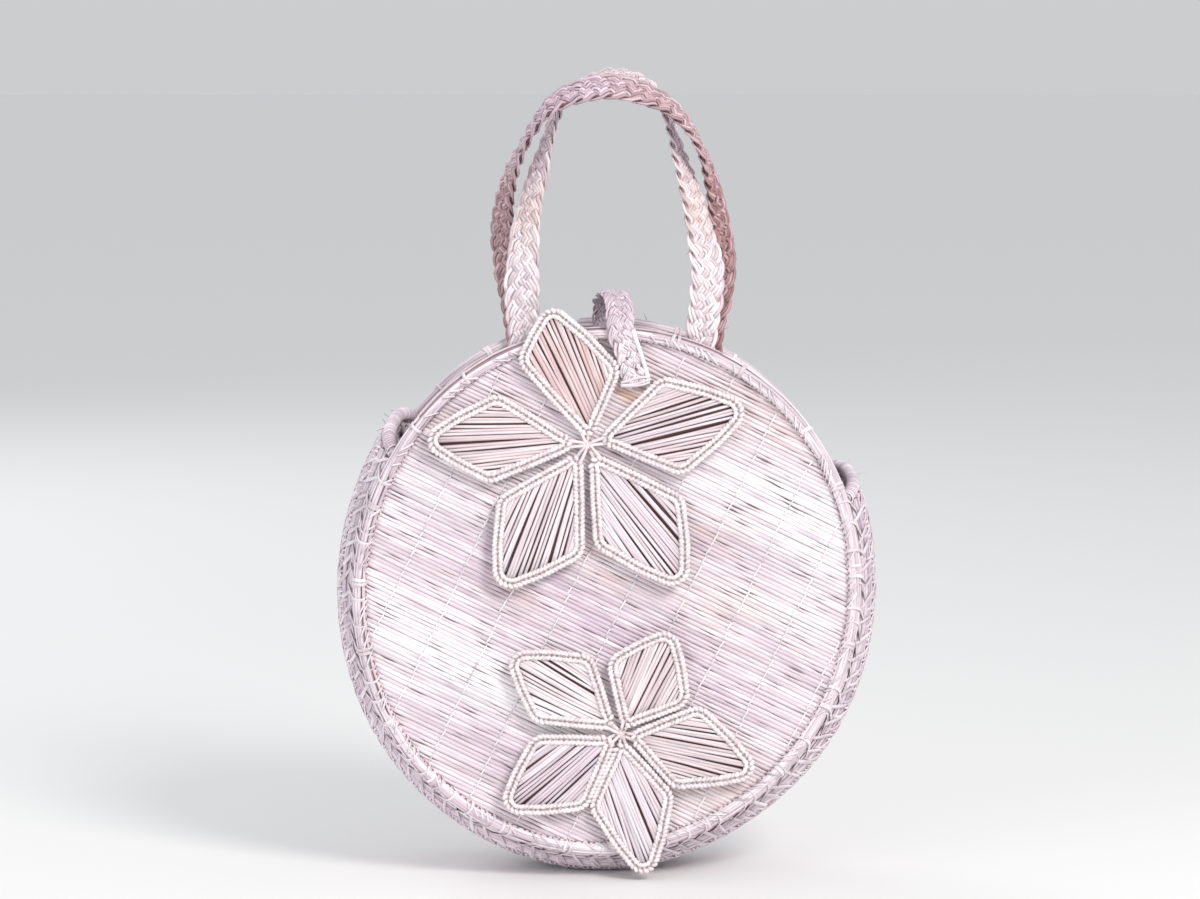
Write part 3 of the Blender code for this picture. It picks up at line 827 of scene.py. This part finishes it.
# across in half spreads, depth in seats, up in rises above the rim, turn in degrees, width share
frontHandleRoute = (
    (-0.74, -1, -0.24, 0, 0.86), (-0.75, -1, -0.06, 0, 0.88), (-0.76, -1, 0.1, 4, 1),
    (-0.76, -0.94, 0.22, 16, 1), (-0.74, -0.74, 0.35, 34, 0.98), (-0.69, -0.44, 0.48, 48, 0.96),
    (-0.61, -0.12, 0.61, 60, 0.94), (-0.52, 0.16, 0.75, 74, 0.92), (-0.42, 0.34, 0.87, 78, 0.9),
    (-0.23, 0.38, 0.955, 72, 0.9), (0.06, 0.38, 1, 68, 0.9), (0.34, 0.38, 0.97, 72, 0.9),
    (0.52, 0.34, 0.875, 78, 0.9), (0.61, 0.16, 0.75, 74, 0.92), (0.69, -0.12, 0.62, 60, 0.94),
    (0.77, -0.44, 0.49, 48, 0.96), (0.83, -0.74, 0.36, 34, 0.98), (0.88, -0.94, 0.23, 16, 1),
    (0.87, -1, 0.11, 4, 1), (0.82, -1, -0.05, 0, 0.9), (0.79, -1, -0.24, 0, 0.88),
)
backHandleRoute = (
    (-0.74, 1, -0.24, 0, 0.86), (-0.77, 1, -0.04, 0, 0.9), (-0.81, 0.98, 0.09, 8, 1),
    (-0.87, 0.86, 0.23, 26, 1), (-0.92, 0.6, 0.36, 46, 1), (-0.91, 0.32, 0.48, 60, 0.98),
    (-0.85, 0.04, 0.6, 70, 0.96), (-0.74, -0.22, 0.72, 80, 0.84), (-0.6, -0.36, 0.83, 72, 0.8),
    (-0.4, -0.39, 0.91, 54, 0.84), (0, -0.39, 0.955, 42, 0.88), (0.42, -0.39, 0.91, 52, 0.86),
    (0.66, -0.36, 0.83, 66, 0.82), (0.82, -0.22, 0.72, 80, 0.84), (0.92, 0.04, 0.6, 70, 0.96),
    (0.99, 0.32, 0.48, 60, 0.98), (1.04, 0.6, 0.35, 48, 1), (1.05, 0.86, 0.215, 28, 1),
    (1.01, 0.98, 0.09, 8, 1), (0.95, 1, -0.04, 0, 0.9), (0.92, 1, -0.24, 0, 0.86),
)

strap = {
    "width": 0.0178,
    "thickness": 0.0050,
    "rise": 0.0170,
    "endRows": (1, 2, 4),  # straws across the sewn end, in steps back from it
    "endStraw": (0.0017, 0.0010),  # width and thickness
    "cords": ((0.47, (0.9, 0, 0)), (0.40, (0.5, 0.1, 0))),  # up the right edge: place in widths, tint
    "holes": ((-1, 0.50), (-1, 0.56), (-9, 0.12), (-16, -0.1)),  # step along, place in widths
}

# across in strap widths, depth in seats, up in strap rises above the rim, width share
strapRoute = (
    (0, 1, -1.5, 0.8), (0, 1, -0.3, 0.9), (0.04, 0.86, 0.5, 1),
    (0.16, 0.44, 0.95, 1), (0.3, -0.18, 1.02, 1), (0.38, -0.66, 0.8, 1),
    (0.4, -0.95, 0.28, 1), (0.44, -1, -0.3, 0.98), (0.67, -1, -0.96, 0.94),
    (0.86, -0.95, -1.62, 0.98), (0.95, -0.94, -2.12, 1.04),
)


def readRoute(rows, count):
    rows = np.array(rows, float)
    last = len(rows) - 1
    spots = np.linspace(0, last, count)
    index = np.minimum(spots.astype(int), last - 1)
    near = [rows[np.clip(index + step, 0, last)] for step in (-1, 0, 1, 2)]
    return smoothValue(*near, (spots - index)[:, None])


def evenly(route, other, step):
    # the route and its other columns read again at even steps along it
    run = lengthAlong(route)
    spots = np.linspace(0, run[-1], max(8, int(run[-1] / step)))
    return spots, readAt(spots, run, route), readAt(spots, run, other)


def seatDepth(thickness, way):
    # where a band lies against the rims at the mouth: way is -1 inside them and 1 outside
    return bag["mouthDepth"] / 2 + way * (rimRadius + bag["clearance"] + thickness / 2)


def handleBand(rows):
    read = readRoute(rows, 400)
    scale = (handle["halfSpread"], seatDepth(handle["thickness"], -1), handle["rise"])
    spots, middle, read = evenly(read[:, :3] * scale + (0, 0, rimTop), read, handleBraid["step"])
    travel = unit(np.gradient(middle, axis=0))
    back = square((0, 1, 0), travel)
    across = around(np.cross(back, travel), -back, np.radians(read[:, 3]))
    return spots, middle, travel, across, read[:, 4] * handle["width"]


def strapBand():
    read = readRoute(strapRoute, 300)
    seats = np.where(read[:, 1] > 0, seatDepth(strap["thickness"], -1), seatDepth(strap["thickness"], 1))
    across, depth, height = read[:, 0] * strap["width"], read[:, 1] * seats, read[:, 2] * strap["rise"]
    middle = np.stack([across, depth, rimTop + height], -1)
    spots, middle, read = evenly(middle, read, strapBraid["step"])
    travel = unit(np.gradient(middle, axis=0))
    across = square((1, 0, 0), travel)
    return spots, middle, travel, across, read[:, 3] * strap["width"]


def plaitLie(phase, strands):
    # over one and under one: 1 on the face, -1 behind, level where a strand turns at an edge
    steps = np.arange(2 * strands)
    table = np.where(steps < strands, 1.0, -1.0) * (-1.0) ** steps
    table[[0, strands]] = 0.0
    spot = phase % 1.0 * 2 * strands
    index = spot.astype(int)
    share = spot - index
    share = share * share * (3 - 2 * share)
    near, far = table[index % (2 * strands)], table[(index + 1) % (2 * strands)]
    return near + (far - near) * share


def braid(work, band, thickness, look, tintAt):
    # a flat plait of strands of several straws, going from edge to edge
    spots, middle, travel, across, width = band
    through = unit(np.cross(travel, across))
    wide, thick = look["core"]
    # a core under the strands, given painted shade so that the gaps between strands read as shade
    work.strand(middle, through, width * wide, thickness * thick, 10, look["coreTint"], False, 0.4, True)
    strands = look["strands"]
    period = strands * look["pitch"]
    slow = look["wander"] * np.sin(spots * 23 + work.pick.random() * 6)
    for strandIndex in range(strands):
        phase = spots / period + strandIndex / strands + slow
        phase = phase + 0.012 * np.sin(spots * 61 + work.pick.random() * 6)
        wave = np.arcsin(0.96 * np.cos(2 * math.pi * phase)) / math.asin(0.96)
        strandWidth = look["strandWidth"] * (1 + 0.10 * np.sin(spots * 37 + work.pick.random() * 6))
        swing = width / 2 - strandWidth * look["tuck"]
        lie = plaitLie(phase, strands)
        spine = middle + across * (wave * swing)[:, None]
        direction = unit(np.gradient(spine, axis=0))
        inPlane = unit(np.cross(through, direction))
        nearEdge = np.abs(wave) ** 6
        for straw in range(look["straws"]):
            share = (straw + 0.5) / look["straws"] * 2 - 1
            slide = work.pick.normal(0, 0.00015) + 0.00025 * np.sin(spots * 140 + work.pick.random() * 6)
            offset = share * (strandWidth / 2) * (1 - 0.15 * nearEdge) + slide
            lift = lie * (thickness / 4 + (1 - share ** 2) * look["dome"])
            lift = np.clip(lift, -thickness / 2, thickness / 2) + 0.00012 * np.sin(spots * 300 + straw * 2)
            route = spine + inPlane * offset[:, None] + through * lift[:, None]
            tint = tintAt(route, work.pick)
            flat = look["strawWidth"] * work.pick.uniform(0.85, 1.15)
            work.strand(route, through, flat, look["strawThickness"], 6, tint, False, 0.0, True)
    edge = width[:, None] * 0.45
    strayFibres(work, middle + across * edge, across, look["strays"], tint[0])
    strayFibres(work, middle - across * edge, -across, look["strays"], tint[0])


# core is a share of the band's width and thickness, tuck of a strand's width, wander of a full turn
handleBraid = {
    "strands": 5, "pitch": 0.0100, "strandWidth": 0.0084, "straws": 4, "strawWidth": 0.0025,
    "strawThickness": 0.0013, "dome": 0.0007, "coreTint": (0.1, 0.3, 0.1), "strays": 6, "step": 0.0020,
    "core": (0.80, 0.40), "tuck": 0.44, "wander": 0.05,
}
strapBraid = handleBraid | {
    "pitch": 0.0074, "strandWidth": 0.0068, "straws": 5, "strawWidth": 0.0016, "strawThickness": 0.0011,
    "dome": 0.0006, "coreTint": (0.2, 0.4, 0.1), "strays": 2, "step": 0.0012,
}


def paleTint(route, pick):
    tint = np.zeros((len(route), 3))
    tint[:, 0] = pick.choice([0.0, 0.1, 0.5, 0.8])
    height = route[:, 2]
    tint[:, 1] = 0.30 * np.clip((height - 0.40) / 0.06, 0, 1) + pick.choice([0.0, 0.0, 0.2, 0.4])
    pinkish = np.exp(-((height - 0.415) / 0.018) ** 2) + 0.4 * np.exp(-((height - 0.50) / 0.008) ** 2)
    tint[:, 2] = 0.55 * pinkish * pick.random() + 0.08 * pick.random()
    return tint


def mauveTint(route, pick):
    # brown-mauve legs, the arch lilac on its left and pink on its right, and the left leg bleached more as
    # painted light against the front handle's shadow on it
    tint = np.zeros((len(route), 3))
    high = np.clip((route[:, 2] - 0.43) / 0.035, 0, 1)
    left = np.clip(0.5 - route[:, 0] / 0.05, 0, 1)
    # painted light: 0.22 more bleach on the left leg, which lies in the front handle's shadow; the random
    # part is the straws' own tone
    leg = np.where(route[:, 0] < 0, 0.22, 0.0) + pick.choice([0.0, 0.0, 0.10, 0.24])
    tint[:, 0] = high * (0.45 + 0.45 * left) * pick.uniform(0.6, 1.1) + leg
    tint[:, 1] = high * 0.55 * left + pick.uniform(0, 0.2)
    return np.clip(tint, 0, 1)


def greyTint(route, pick):
    tint = np.zeros((len(route), 3))
    low = np.clip((0.352 - route[:, 2]) / 0.02, 0, 1)
    tint[:, 0] = 0.10 + 0.5 * low * pick.random() + 0.3 * (pick.random() > 0.7)
    tint[:, 1] = (0.58 * (1 - low) + 0.1) * pick.uniform(0.7, 1.2)
    return tint


def bindStrapEnd(work, band):
    # straws across the sewn end, a pale cord up the right edge, and painted shade at the holes of the
    # sewing
    _, middle, travel, across, width = band
    front = -unit(np.cross(travel, across))
    front = front * np.where(front[:, 1:2] > 0, -1, 1)
    raised = strap["thickness"] / 2 - 0.0004
    wide, thick = strap["endStraw"]
    for back in strap["endRows"]:
        share = np.linspace(-0.52, 0.52, 8)[:, None]
        route = middle[-back] + across[-back] * share * width[-back] + front[-back] * raised
        route = route + travel[-back] * 0.0006 * np.sin(share * 5 + back)
        work.strand(route, front[-back], wide, thick, 6, (0.5, 0, 0))
    low = (middle[:, 2] < rimTop - 0.002) & (middle[:, 1] < 0)
    for inset, tint in strap["cords"]:
        route = middle[low] + (across * inset * width[:, None] + front * raised * 0.8)[low]
        work.strand(route, front[low], wide, thick * 1.2, 6, tint)
    for along, aside in strap["holes"]:
        spot = middle[along] + across[along] * aside * width[along] + front[along] * (raised + 0.0003)
        route = spot + travel[along] * (np.array([-1, 0, 1]) * 0.0010)[:, None]
        work.hole(route, front[along], 0.0014)


for name, finish, slot, node, seed, band, size, look, tintAt in (
    ("frontHandleBraid", "braidPale", "braid_pale", "front_handle", 41, handleBand(frontHandleRoute),
     handle, handleBraid, paleTint),
    ("backHandleBraid", "braidMauve", "braid_mauve", "back_handle", 42, handleBand(backHandleRoute),
     handle, handleBraid, mauveTint),
    ("closureStrapBraid", "braidPale", "braid_pale", "closure_strap", 43, strapBand(),
     strap, strapBraid, greyTint),
):
    work = StrawWork(seed)
    braid(work, band, size["thickness"], look, tintAt)
    if size is strap:
        bindStrapEnd(work, band)
    work.make(name, finishes[finish], [node])


# the two flowers

flower = {
    "cordWidth": 0.0058,
    "cordThickness": 0.0038,
    "cornerRadius": 0.0088,
    "sideBow": (0.008, 0.032, 0.032, 0.008),
    "rootRadius": 0.0030,
    "rootShare": 0.09,
    "rimShare": 0.62,
    "loopPitch": 0.0026,
    "fan": 0.11,
    "holePitch": 0.0034,
    "holeSize": 0.0013,
    "strawPitch": 0.0020,
    "strawWidth": 0.0022,
    "strawThickness": 0.0010,
    "coreShares": (0.80, 0.72),  # of the cord's width and thickness
    "holeRows": ((0.03, 0.00185), (0.45, 0.00150)),  # in from the middle in cord widths, lift
    "webLayers": ((0.0004, 1.0), (-0.0009, 1.25)),  # the front layer, then the back layer in painted shade: lift, and how much wider its straws are
    "shortestStraw": 0.004,
    "rootCord": (0.0022, 0.0018),  # width and thickness of the cords that meet in the middle
    "knotReach": 0.00351,
    "knotHeight": 0.0030,
    "knotStraw": (0.0012, 0.0008),
    "knotHoles": (5, 0.0032, 0.0013),  # how many, how far out, width
    "loop": (  # a crochet loop from start to end
        (0.0, 0.35, 0.8, 1.25),  # along, in pitches
        (0.10, 0.26, 0.40, 0.42),  # aside, in cord widths
        (0.48, 0.78, 0.74, 0.40),  # lift, in half thicknesses
        (0.0020, 0.0028, 0.0028, 0.0020),  # width
    ),
}

# heading in degrees, then shares of the flower's reach: length, root along, root aside, left along,
# left aside, right along, right aside; last, the heading of its straws in degrees on the face.
# tints say how bleached, lilac and tan the straws of each petal are
flowers = {
    "upper": {
        "seed": 50,
        "knotSeed": 75,
        "reach": 0.104,
        "gaps": 0.32,
        "place": (-0.085, 0.57),
        "petals": (
            (105, 0.85, 0.06, -0.02, 0.59, 0.25, 0.39, -0.28, -66),
            (13, 0.985, 0.1, 0.01, 0.52, 0.27, 0.51, -0.28, 15),
            (-56, 1.03, 0.09, -0.014, 0.58, 0.27, 0.53, -0.28, -52),
            (-122, 1.015, 0.1, -0.008, 0.58, 0.3, 0.55, -0.26, 70),
            (178, 0.98, 0.1, 0.005, 0.58, 0.22, 0.55, -0.26, 3),
        ),
        "tints": ((0, 0.35, 0.62), (0.2, 0.35, 0.1), (0.45, 0.4, 0), (0.5, 0.22, 0.05), (0.1, 0.1, 0.15)),
    },
    "lower": {
        "seed": 60,
        "knotSeed": 76,
        "reach": 0.088,
        "gaps": 0.11,
        "place": (0.048, -0.548),
        "petals": (
            (144, 0.975, 0.1, -0.002, 0.56, 0.26, 0.5, -0.3, -30),
            (64, 0.815, 0.08, 0.001, 0.44, 0.29, 0.41, -0.31, 65),
            (-16, 1.015, 0.09, 0.007, 0.49, 0.32, 0.47, -0.24, -12),
            (-80, 1.05, 0.08, -0.007, 0.5, 0.26, 0.48, -0.28, -68),
            (-148, 0.995, 0.09, 0.009, 0.5, 0.29, 0.53, -0.29, 40),
        ),
        "tints": ((0.55, 0.1, 0), (0.25, 0.15, 0.12), (0.3, 0.15, 0.1), (0.55, 0.3, 0), (0.35, 0.45, 0)),
    },
}


def petalMatrix(middle, heading, reach):
    standOff = bag["panelThickness"] / 2 + bag["clearance"] + flower["cordThickness"] / 2
    rise = rimRadius + bag["clearance"] + flower["cordThickness"] / 2 - standOff
    lean = math.atan(rise / ((flower["rimShare"] - flower["rootShare"]) * reach))
    stand = standOff - flower["rootShare"] * reach * math.tan(lean)
    centre = Vector((middle[0] * halfSize[0], middle[1] * halfSize[1], stand))
    turned = Matrix.Rotation(math.radians(heading), 4, "Z") @ Matrix.Rotation(-lean, 4, "Y")
    return faceMatrix(-1) @ Matrix.Translation(centre) @ turned


def roundedOutline(corners, radii):
    points = []
    count = len(corners)
    for index in range(count):
        corner = Vector(corners[index])
        before = Vector(corners[index - 1]) - corner
        after = Vector(corners[(index + 1) % count]) - corner
        halfAngle = before.angle(after) / 2
        reach = min(radii[index] / math.tan(halfAngle), 0.45 * before.length, 0.45 * after.length)
        radius = reach * math.tan(halfAngle)
        middle = (before.normalized() + after.normalized()).normalized()
        centre = corner + middle * (radius / math.sin(halfAngle))
        start = corner + before.normalized() * reach - centre
        sweep = math.pi - 2 * halfAngle
        for step in range(9):
            points.append(tuple(centre + Matrix.Rotation(sweep * step / 8, 2) @ start))
    return np.array(points)


def fullSides(corners, radii):
    # each side bows out a little, the outer two more than the two beside the root
    fuller, softer = [], []
    for index, corner in enumerate(corners):
        end = corners[(index + 1) % 4]
        along = end - corner
        bow = np.array([along[1], -along[0]]) * flower["sideBow"][index]
        fuller += [corner, (corner + end) / 2 + bow]
        softer += [radii[index], 0.08]
    return fuller, softer


def edgeSpots(corners, radii, step):
    # even spots round a petal's outline, with the directions along it and in from it
    points = roundedOutline(corners, radii)
    points = np.concatenate([points, points[:1]])
    run = lengthAlong(points)
    count = max(12, int(round(run[-1] / step)))
    spots = readAt(np.linspace(0, run[-1], count, endpoint=False), run, points)
    travel = loopTravel(spots)
    return spots, travel, np.stack([-travel[:, 1], travel[:, 0]], -1)


def holeShadeRow(work, matrix, out, shape, inset, lift):
    # painted shade at the little holes that the crochet leaves, a row of them beside the middle of the cord
    spots, travel, inward = edgeSpots(*shape, flower["holePitch"])
    spots = spots + inward * inset * flower["cordWidth"]
    for spot, way in zip(spots, travel):
        length = flower["holeSize"] * work.pick.uniform(0.5, 1.2)
        route = spot + way * (np.array([-0.5, 0, 0.5]) * length)[:, None]
        width = flower["holeSize"] * work.pick.uniform(0.5, 0.9)
        work.hole(placeFlat(matrix, route, [lift - 0.0002, lift, lift - 0.0002]), out, width)


def makeEdge(name, number, seed, matrix, shape):
    # a soft core, given painted shade, under two rows of slanted crochet loops
    work = StrawWork(seed)
    out = turnOnly(matrix, (0, 0, 1))
    edge, travel, inward = edgeSpots(*shape, flower["loopPitch"])
    wide, thick = flower["coreShares"]
    work.strand(placeFlat(matrix, edge, -0.0004), out, flower["cordWidth"] * wide,
                flower["cordThickness"] * thick, 6, (0.3, 0, 0), True, 0.40)
    along, aside, lift, wide = np.array(flower["loop"])
    for spot, ahead, into in zip(edge, travel, inward):
        for way in (-1, 1):
            shares = (along + work.pick.normal(0, 0.05)) * flower["loopPitch"]
            asides = aside * way * flower["cordWidth"]
            route = spot + ahead * shares[:, None] + into * asides[:, None]
            width = wide * work.pick.uniform(0.92, 1.08)
            tint = (work.pick.uniform(0.15, 0.65), 0, 0.08 * work.pick.random())
            route = placeFlat(matrix, route, lift * flower["cordThickness"] / 2)
            work.strand(route, out, width, width * 0.60, 5, tint)
    for inset, height in flower["holeRows"]:
        holeShadeRow(work, matrix, out, shape, inset, height)
    work.make(name + "PetalEdge" + str(number), finishes["petalCord"],
              [name + "_petal_edge_" + str(number)])


def makeWeb(name, number, seed, matrix, shape, turn):
    # straws wound across, and a back layer of straws in painted shade showing between them
    work = StrawWork(seed)
    out = turnOnly(matrix, (0, 0, 1))
    along, aside = headings(turn)
    inner, _, inward = edgeSpots(*shape, 0.001)
    inner = inner + inward * flower["cordWidth"] * 0.25
    offsets = inner @ aside
    low, top = offsets.min(), offsets.max()
    middle = inner.mean(0)
    fan = flower["fan"] if along[0] > 0 else -flower["fan"]
    rise = np.sin(np.linspace(0, math.pi, 6))
    for layer, (lift, grow) in enumerate(flower["webLayers"]):
        at = low + 0.0008 + layer * 0.5 * flower["strawPitch"]
        while at < top - 0.0006:
            off = at - middle @ aside
            way, across = headings(turn + off / (top - low) * 2 * fan)
            base = middle + aside * off
            ends = (inner - base) @ across
            crossing = np.nonzero(np.sign(ends) != np.sign(np.roll(ends, -1)))[0]
            hits = (inner[crossing] - base) @ way
            if len(hits) >= 2 and np.ptp(hits) > flower["shortestStraw"]:
                skew = work.pick.normal(0, 0.0004, 2)
                run = np.linspace(hits.min(), hits.max(), 6)
                bow = np.linspace(*skew, 6) + 0.0003 * rise * work.pick.normal()
                spot = base + run[:, None] * way + bow[:, None] * across
                heights = lift + 0.0003 * work.pick.random() + 0.0004 * rise
                width = flower["strawWidth"] * grow * work.pick.uniform(0.85, 1.08)
                # the back layer: dark straws in full painted shade
                sides, tint, paintedShade = 4, (0, 0, 0.3), 1.0
                if layer == 0:
                    pick = work.pick.random()
                    tint = np.array(flowers[name]["tints"][number - 1]) * (0.4 + pick)
                    tint = np.clip(tint + (0.5 * (pick > 0.75), 0, 0), 0, 1)
                    sides, paintedShade = 5, 0.0
                work.strand(placeFlat(matrix, spot, heights), out, width, flower["strawThickness"], sides,
                            tint, False, paintedShade)
            gap = work.pick.uniform(1.15, 1.38) if work.pick.random() < flowers[name]["gaps"] else 1.0
            at += flower["strawPitch"] * (gap * work.pick.uniform(0.85, 1.1) if layer == 0 else 0.9)
    work.make(name + "PetalWeb" + str(number), finishes["petalStraw"],
              [name + "_petal_web_" + str(number)])


def makePetal(name, spec, number, row):
    heading, length, root, rootAside, left, leftAside, right, rightAside, strawHeading = row
    corners = np.array([(root, rootAside), (right, rightAside), (length, 0), (left, leftAside)])
    radii = [flower["rootRadius"]] + [flower["cornerRadius"]] * 3
    shape = fullSides(corners * spec["reach"], radii)
    matrix = petalMatrix(spec["place"], heading, spec["reach"])
    seed = spec["seed"] + number
    makeEdge(name, number, seed, matrix, shape)
    makeWeb(name, number, seed + 500, matrix, shape, math.radians(strawHeading - heading))


def makeKnot(name, spec):
    # crossing stitches over a small bead
    work = StrawWork(spec["knotSeed"])
    base = bag["panelThickness"] / 2 + bag["clearance"]
    matrix, out = faceFrame(-1)
    middle = np.array(spec["place"]) * halfSize
    for row in spec["petals"]:  # the doubled cord of each petal comes in to the middle
        ahead, beside = headings(math.radians(row[0]))
        far = row[2] * spec["reach"] + 0.003
        run = np.linspace(0.0006, far, 6)
        for way in (-1, 1):
            spot = middle + ahead * run[:, None] + beside * (way * (0.0006 + 0.0016 * run / far))[:, None]
            lift = base + 0.0020 + 0.0006 * np.sin(np.linspace(0.2, math.pi, 6)) + 0.0002 * way
            work.strand(placeFlat(matrix, spot, lift), out, *flower["rootCord"], 6, (0.0, 0.05, 0.05))
    reach = flower["knotReach"]
    run = np.linspace(-reach, reach, 7)
    rise = flower["knotHeight"] * np.sqrt(np.clip(1 - (run / (reach * 1.15)) ** 2, 0, 1))
    for turn in np.linspace(0, math.pi, 3, endpoint=False) + work.pick.random():
        spot = middle + run[:, None] * headings(turn)[0]
        route = placeFlat(matrix, spot, base + 0.0006 + rise * 0.85)
        work.strand(route, out, *flower["knotStraw"], 5, (work.pick.random() * 0.3, 0, 0.1))
    # painted shade at a few holes round the bead
    count, ring, width = flower["knotHoles"]
    for turn in work.pick.random(count) * 2 * math.pi:
        spot = middle + headings(turn)[0] * ring + np.array([[-0.0007, 0], [0, 0], [0.0007, 0]])
        work.hole(placeFlat(matrix, spot, base + 0.0038), out, width)
    work.make(name + "FlowerKnot", finishes["petalCord"], [name + "_flower_knot"])


for name, spec in flowers.items():
    for number, row in enumerate(spec["petals"], start=1):
        makePetal(name, spec, number, row)
    makeKnot(name, spec)


# floor, lights and camera

studio = {
    "floorHalf": 30.0,
    "floorHeight": -0.0002,
    "floorRoughness": 0.6,
    "floorColour": (0.90, 0.89, 0.88, 1),
    "skyColour": (0.94, 0.97, 1.0, 1),
    "skyStrength": 0.68,
    "seenSky": (0.60, 0.61, 0.62, 1),  # what the camera sees behind the floor
    "cameraPlace": (-0.081, -2.646, 0.5308),
    "cameraAim": (-0.0055, -0.046, 0.2693),
    "lens": 126.49,
}

# place, what each points at, size, power, colour
lights = {
    "keyLight": ((1.2, -1.7, 1.8), (0, 0, 0.22), 0.9, 39.0, (1.0, 0.97, 0.95)),
    "fillLight": ((-1.8, -1.8, 0.9), (0, 0, 0.22), 1.8, 12.0, (0.93, 0.96, 1.0)),
    "backLight": ((-1.4, 2.2, 1.6), (0, 0, 0.25), 1.6, 14.0, (1.0, 0.99, 0.98)),
}


def makeFloor():
    mesh = bpy.data.meshes.new("floor")
    half, low = studio["floorHalf"], studio["floorHeight"]
    corners = [(-half, -half, low), (half, -half, low), (half, half, low), (-half, half, low)]
    mesh.from_pydata(corners, [], [(0, 1, 2, 3)])
    floor = addObject("floor", mesh)
    finish = bpy.data.materials.new("paleFloor")
    finish.use_nodes = True
    shader = finish.node_tree.nodes["Principled BSDF"]
    shader.inputs["Base Color"].default_value = studio["floorColour"]
    shader.inputs["Roughness"].default_value = studio["floorRoughness"]
    mesh.materials.append(finish)


def addAimed(name, data, spot, aim):
    made = addObject(name, data)
    made.location = spot
    made.rotation_euler = (Vector(aim) - Vector(spot)).to_track_quat("-Z", "Y").to_euler()
    return made


def makeWorld():
    world = bpy.data.worlds.new("studio")
    world.use_nodes = True
    nodes = world.node_tree.nodes
    background = nodes["Background"]
    background.inputs["Color"].default_value = studio["skyColour"]
    background.inputs["Strength"].default_value = studio["skyStrength"]
    seenSky = nodes.new("ShaderNodeBackground")
    seenSky.inputs["Color"].default_value = studio["seenSky"]
    lightPath = nodes.new("ShaderNodeLightPath")
    eitherSky = nodes.new("ShaderNodeMixShader")
    for index, output in enumerate((lightPath.outputs["Is Camera Ray"], background.outputs[0],
                                    seenSky.outputs[0])):
        world.node_tree.links.new(output, eitherSky.inputs[index])
    world.node_tree.links.new(eitherSky.outputs[0], nodes["World Output"].inputs[0])
    bpy.context.scene.world = world


makeFloor()
for name, (spot, aim, size, power, colour) in lights.items():
    light = bpy.data.lights.new(name, "AREA")
    light.shape = "DISK"
    light.size = size
    light.energy = power
    light.color = colour
    addAimed(name, light, spot, aim)
makeWorld()

camera = bpy.data.cameras.new("camera")
camera.lens = studio["lens"]
camera.sensor_width = 36.0
bpy.context.scene.camera = addAimed("camera", camera, studio["cameraPlace"], studio["cameraAim"])
bpy.context.scene.view_settings.view_transform = "Standard"
print("all pieces made:", sum(trianglesMade), "triangles")
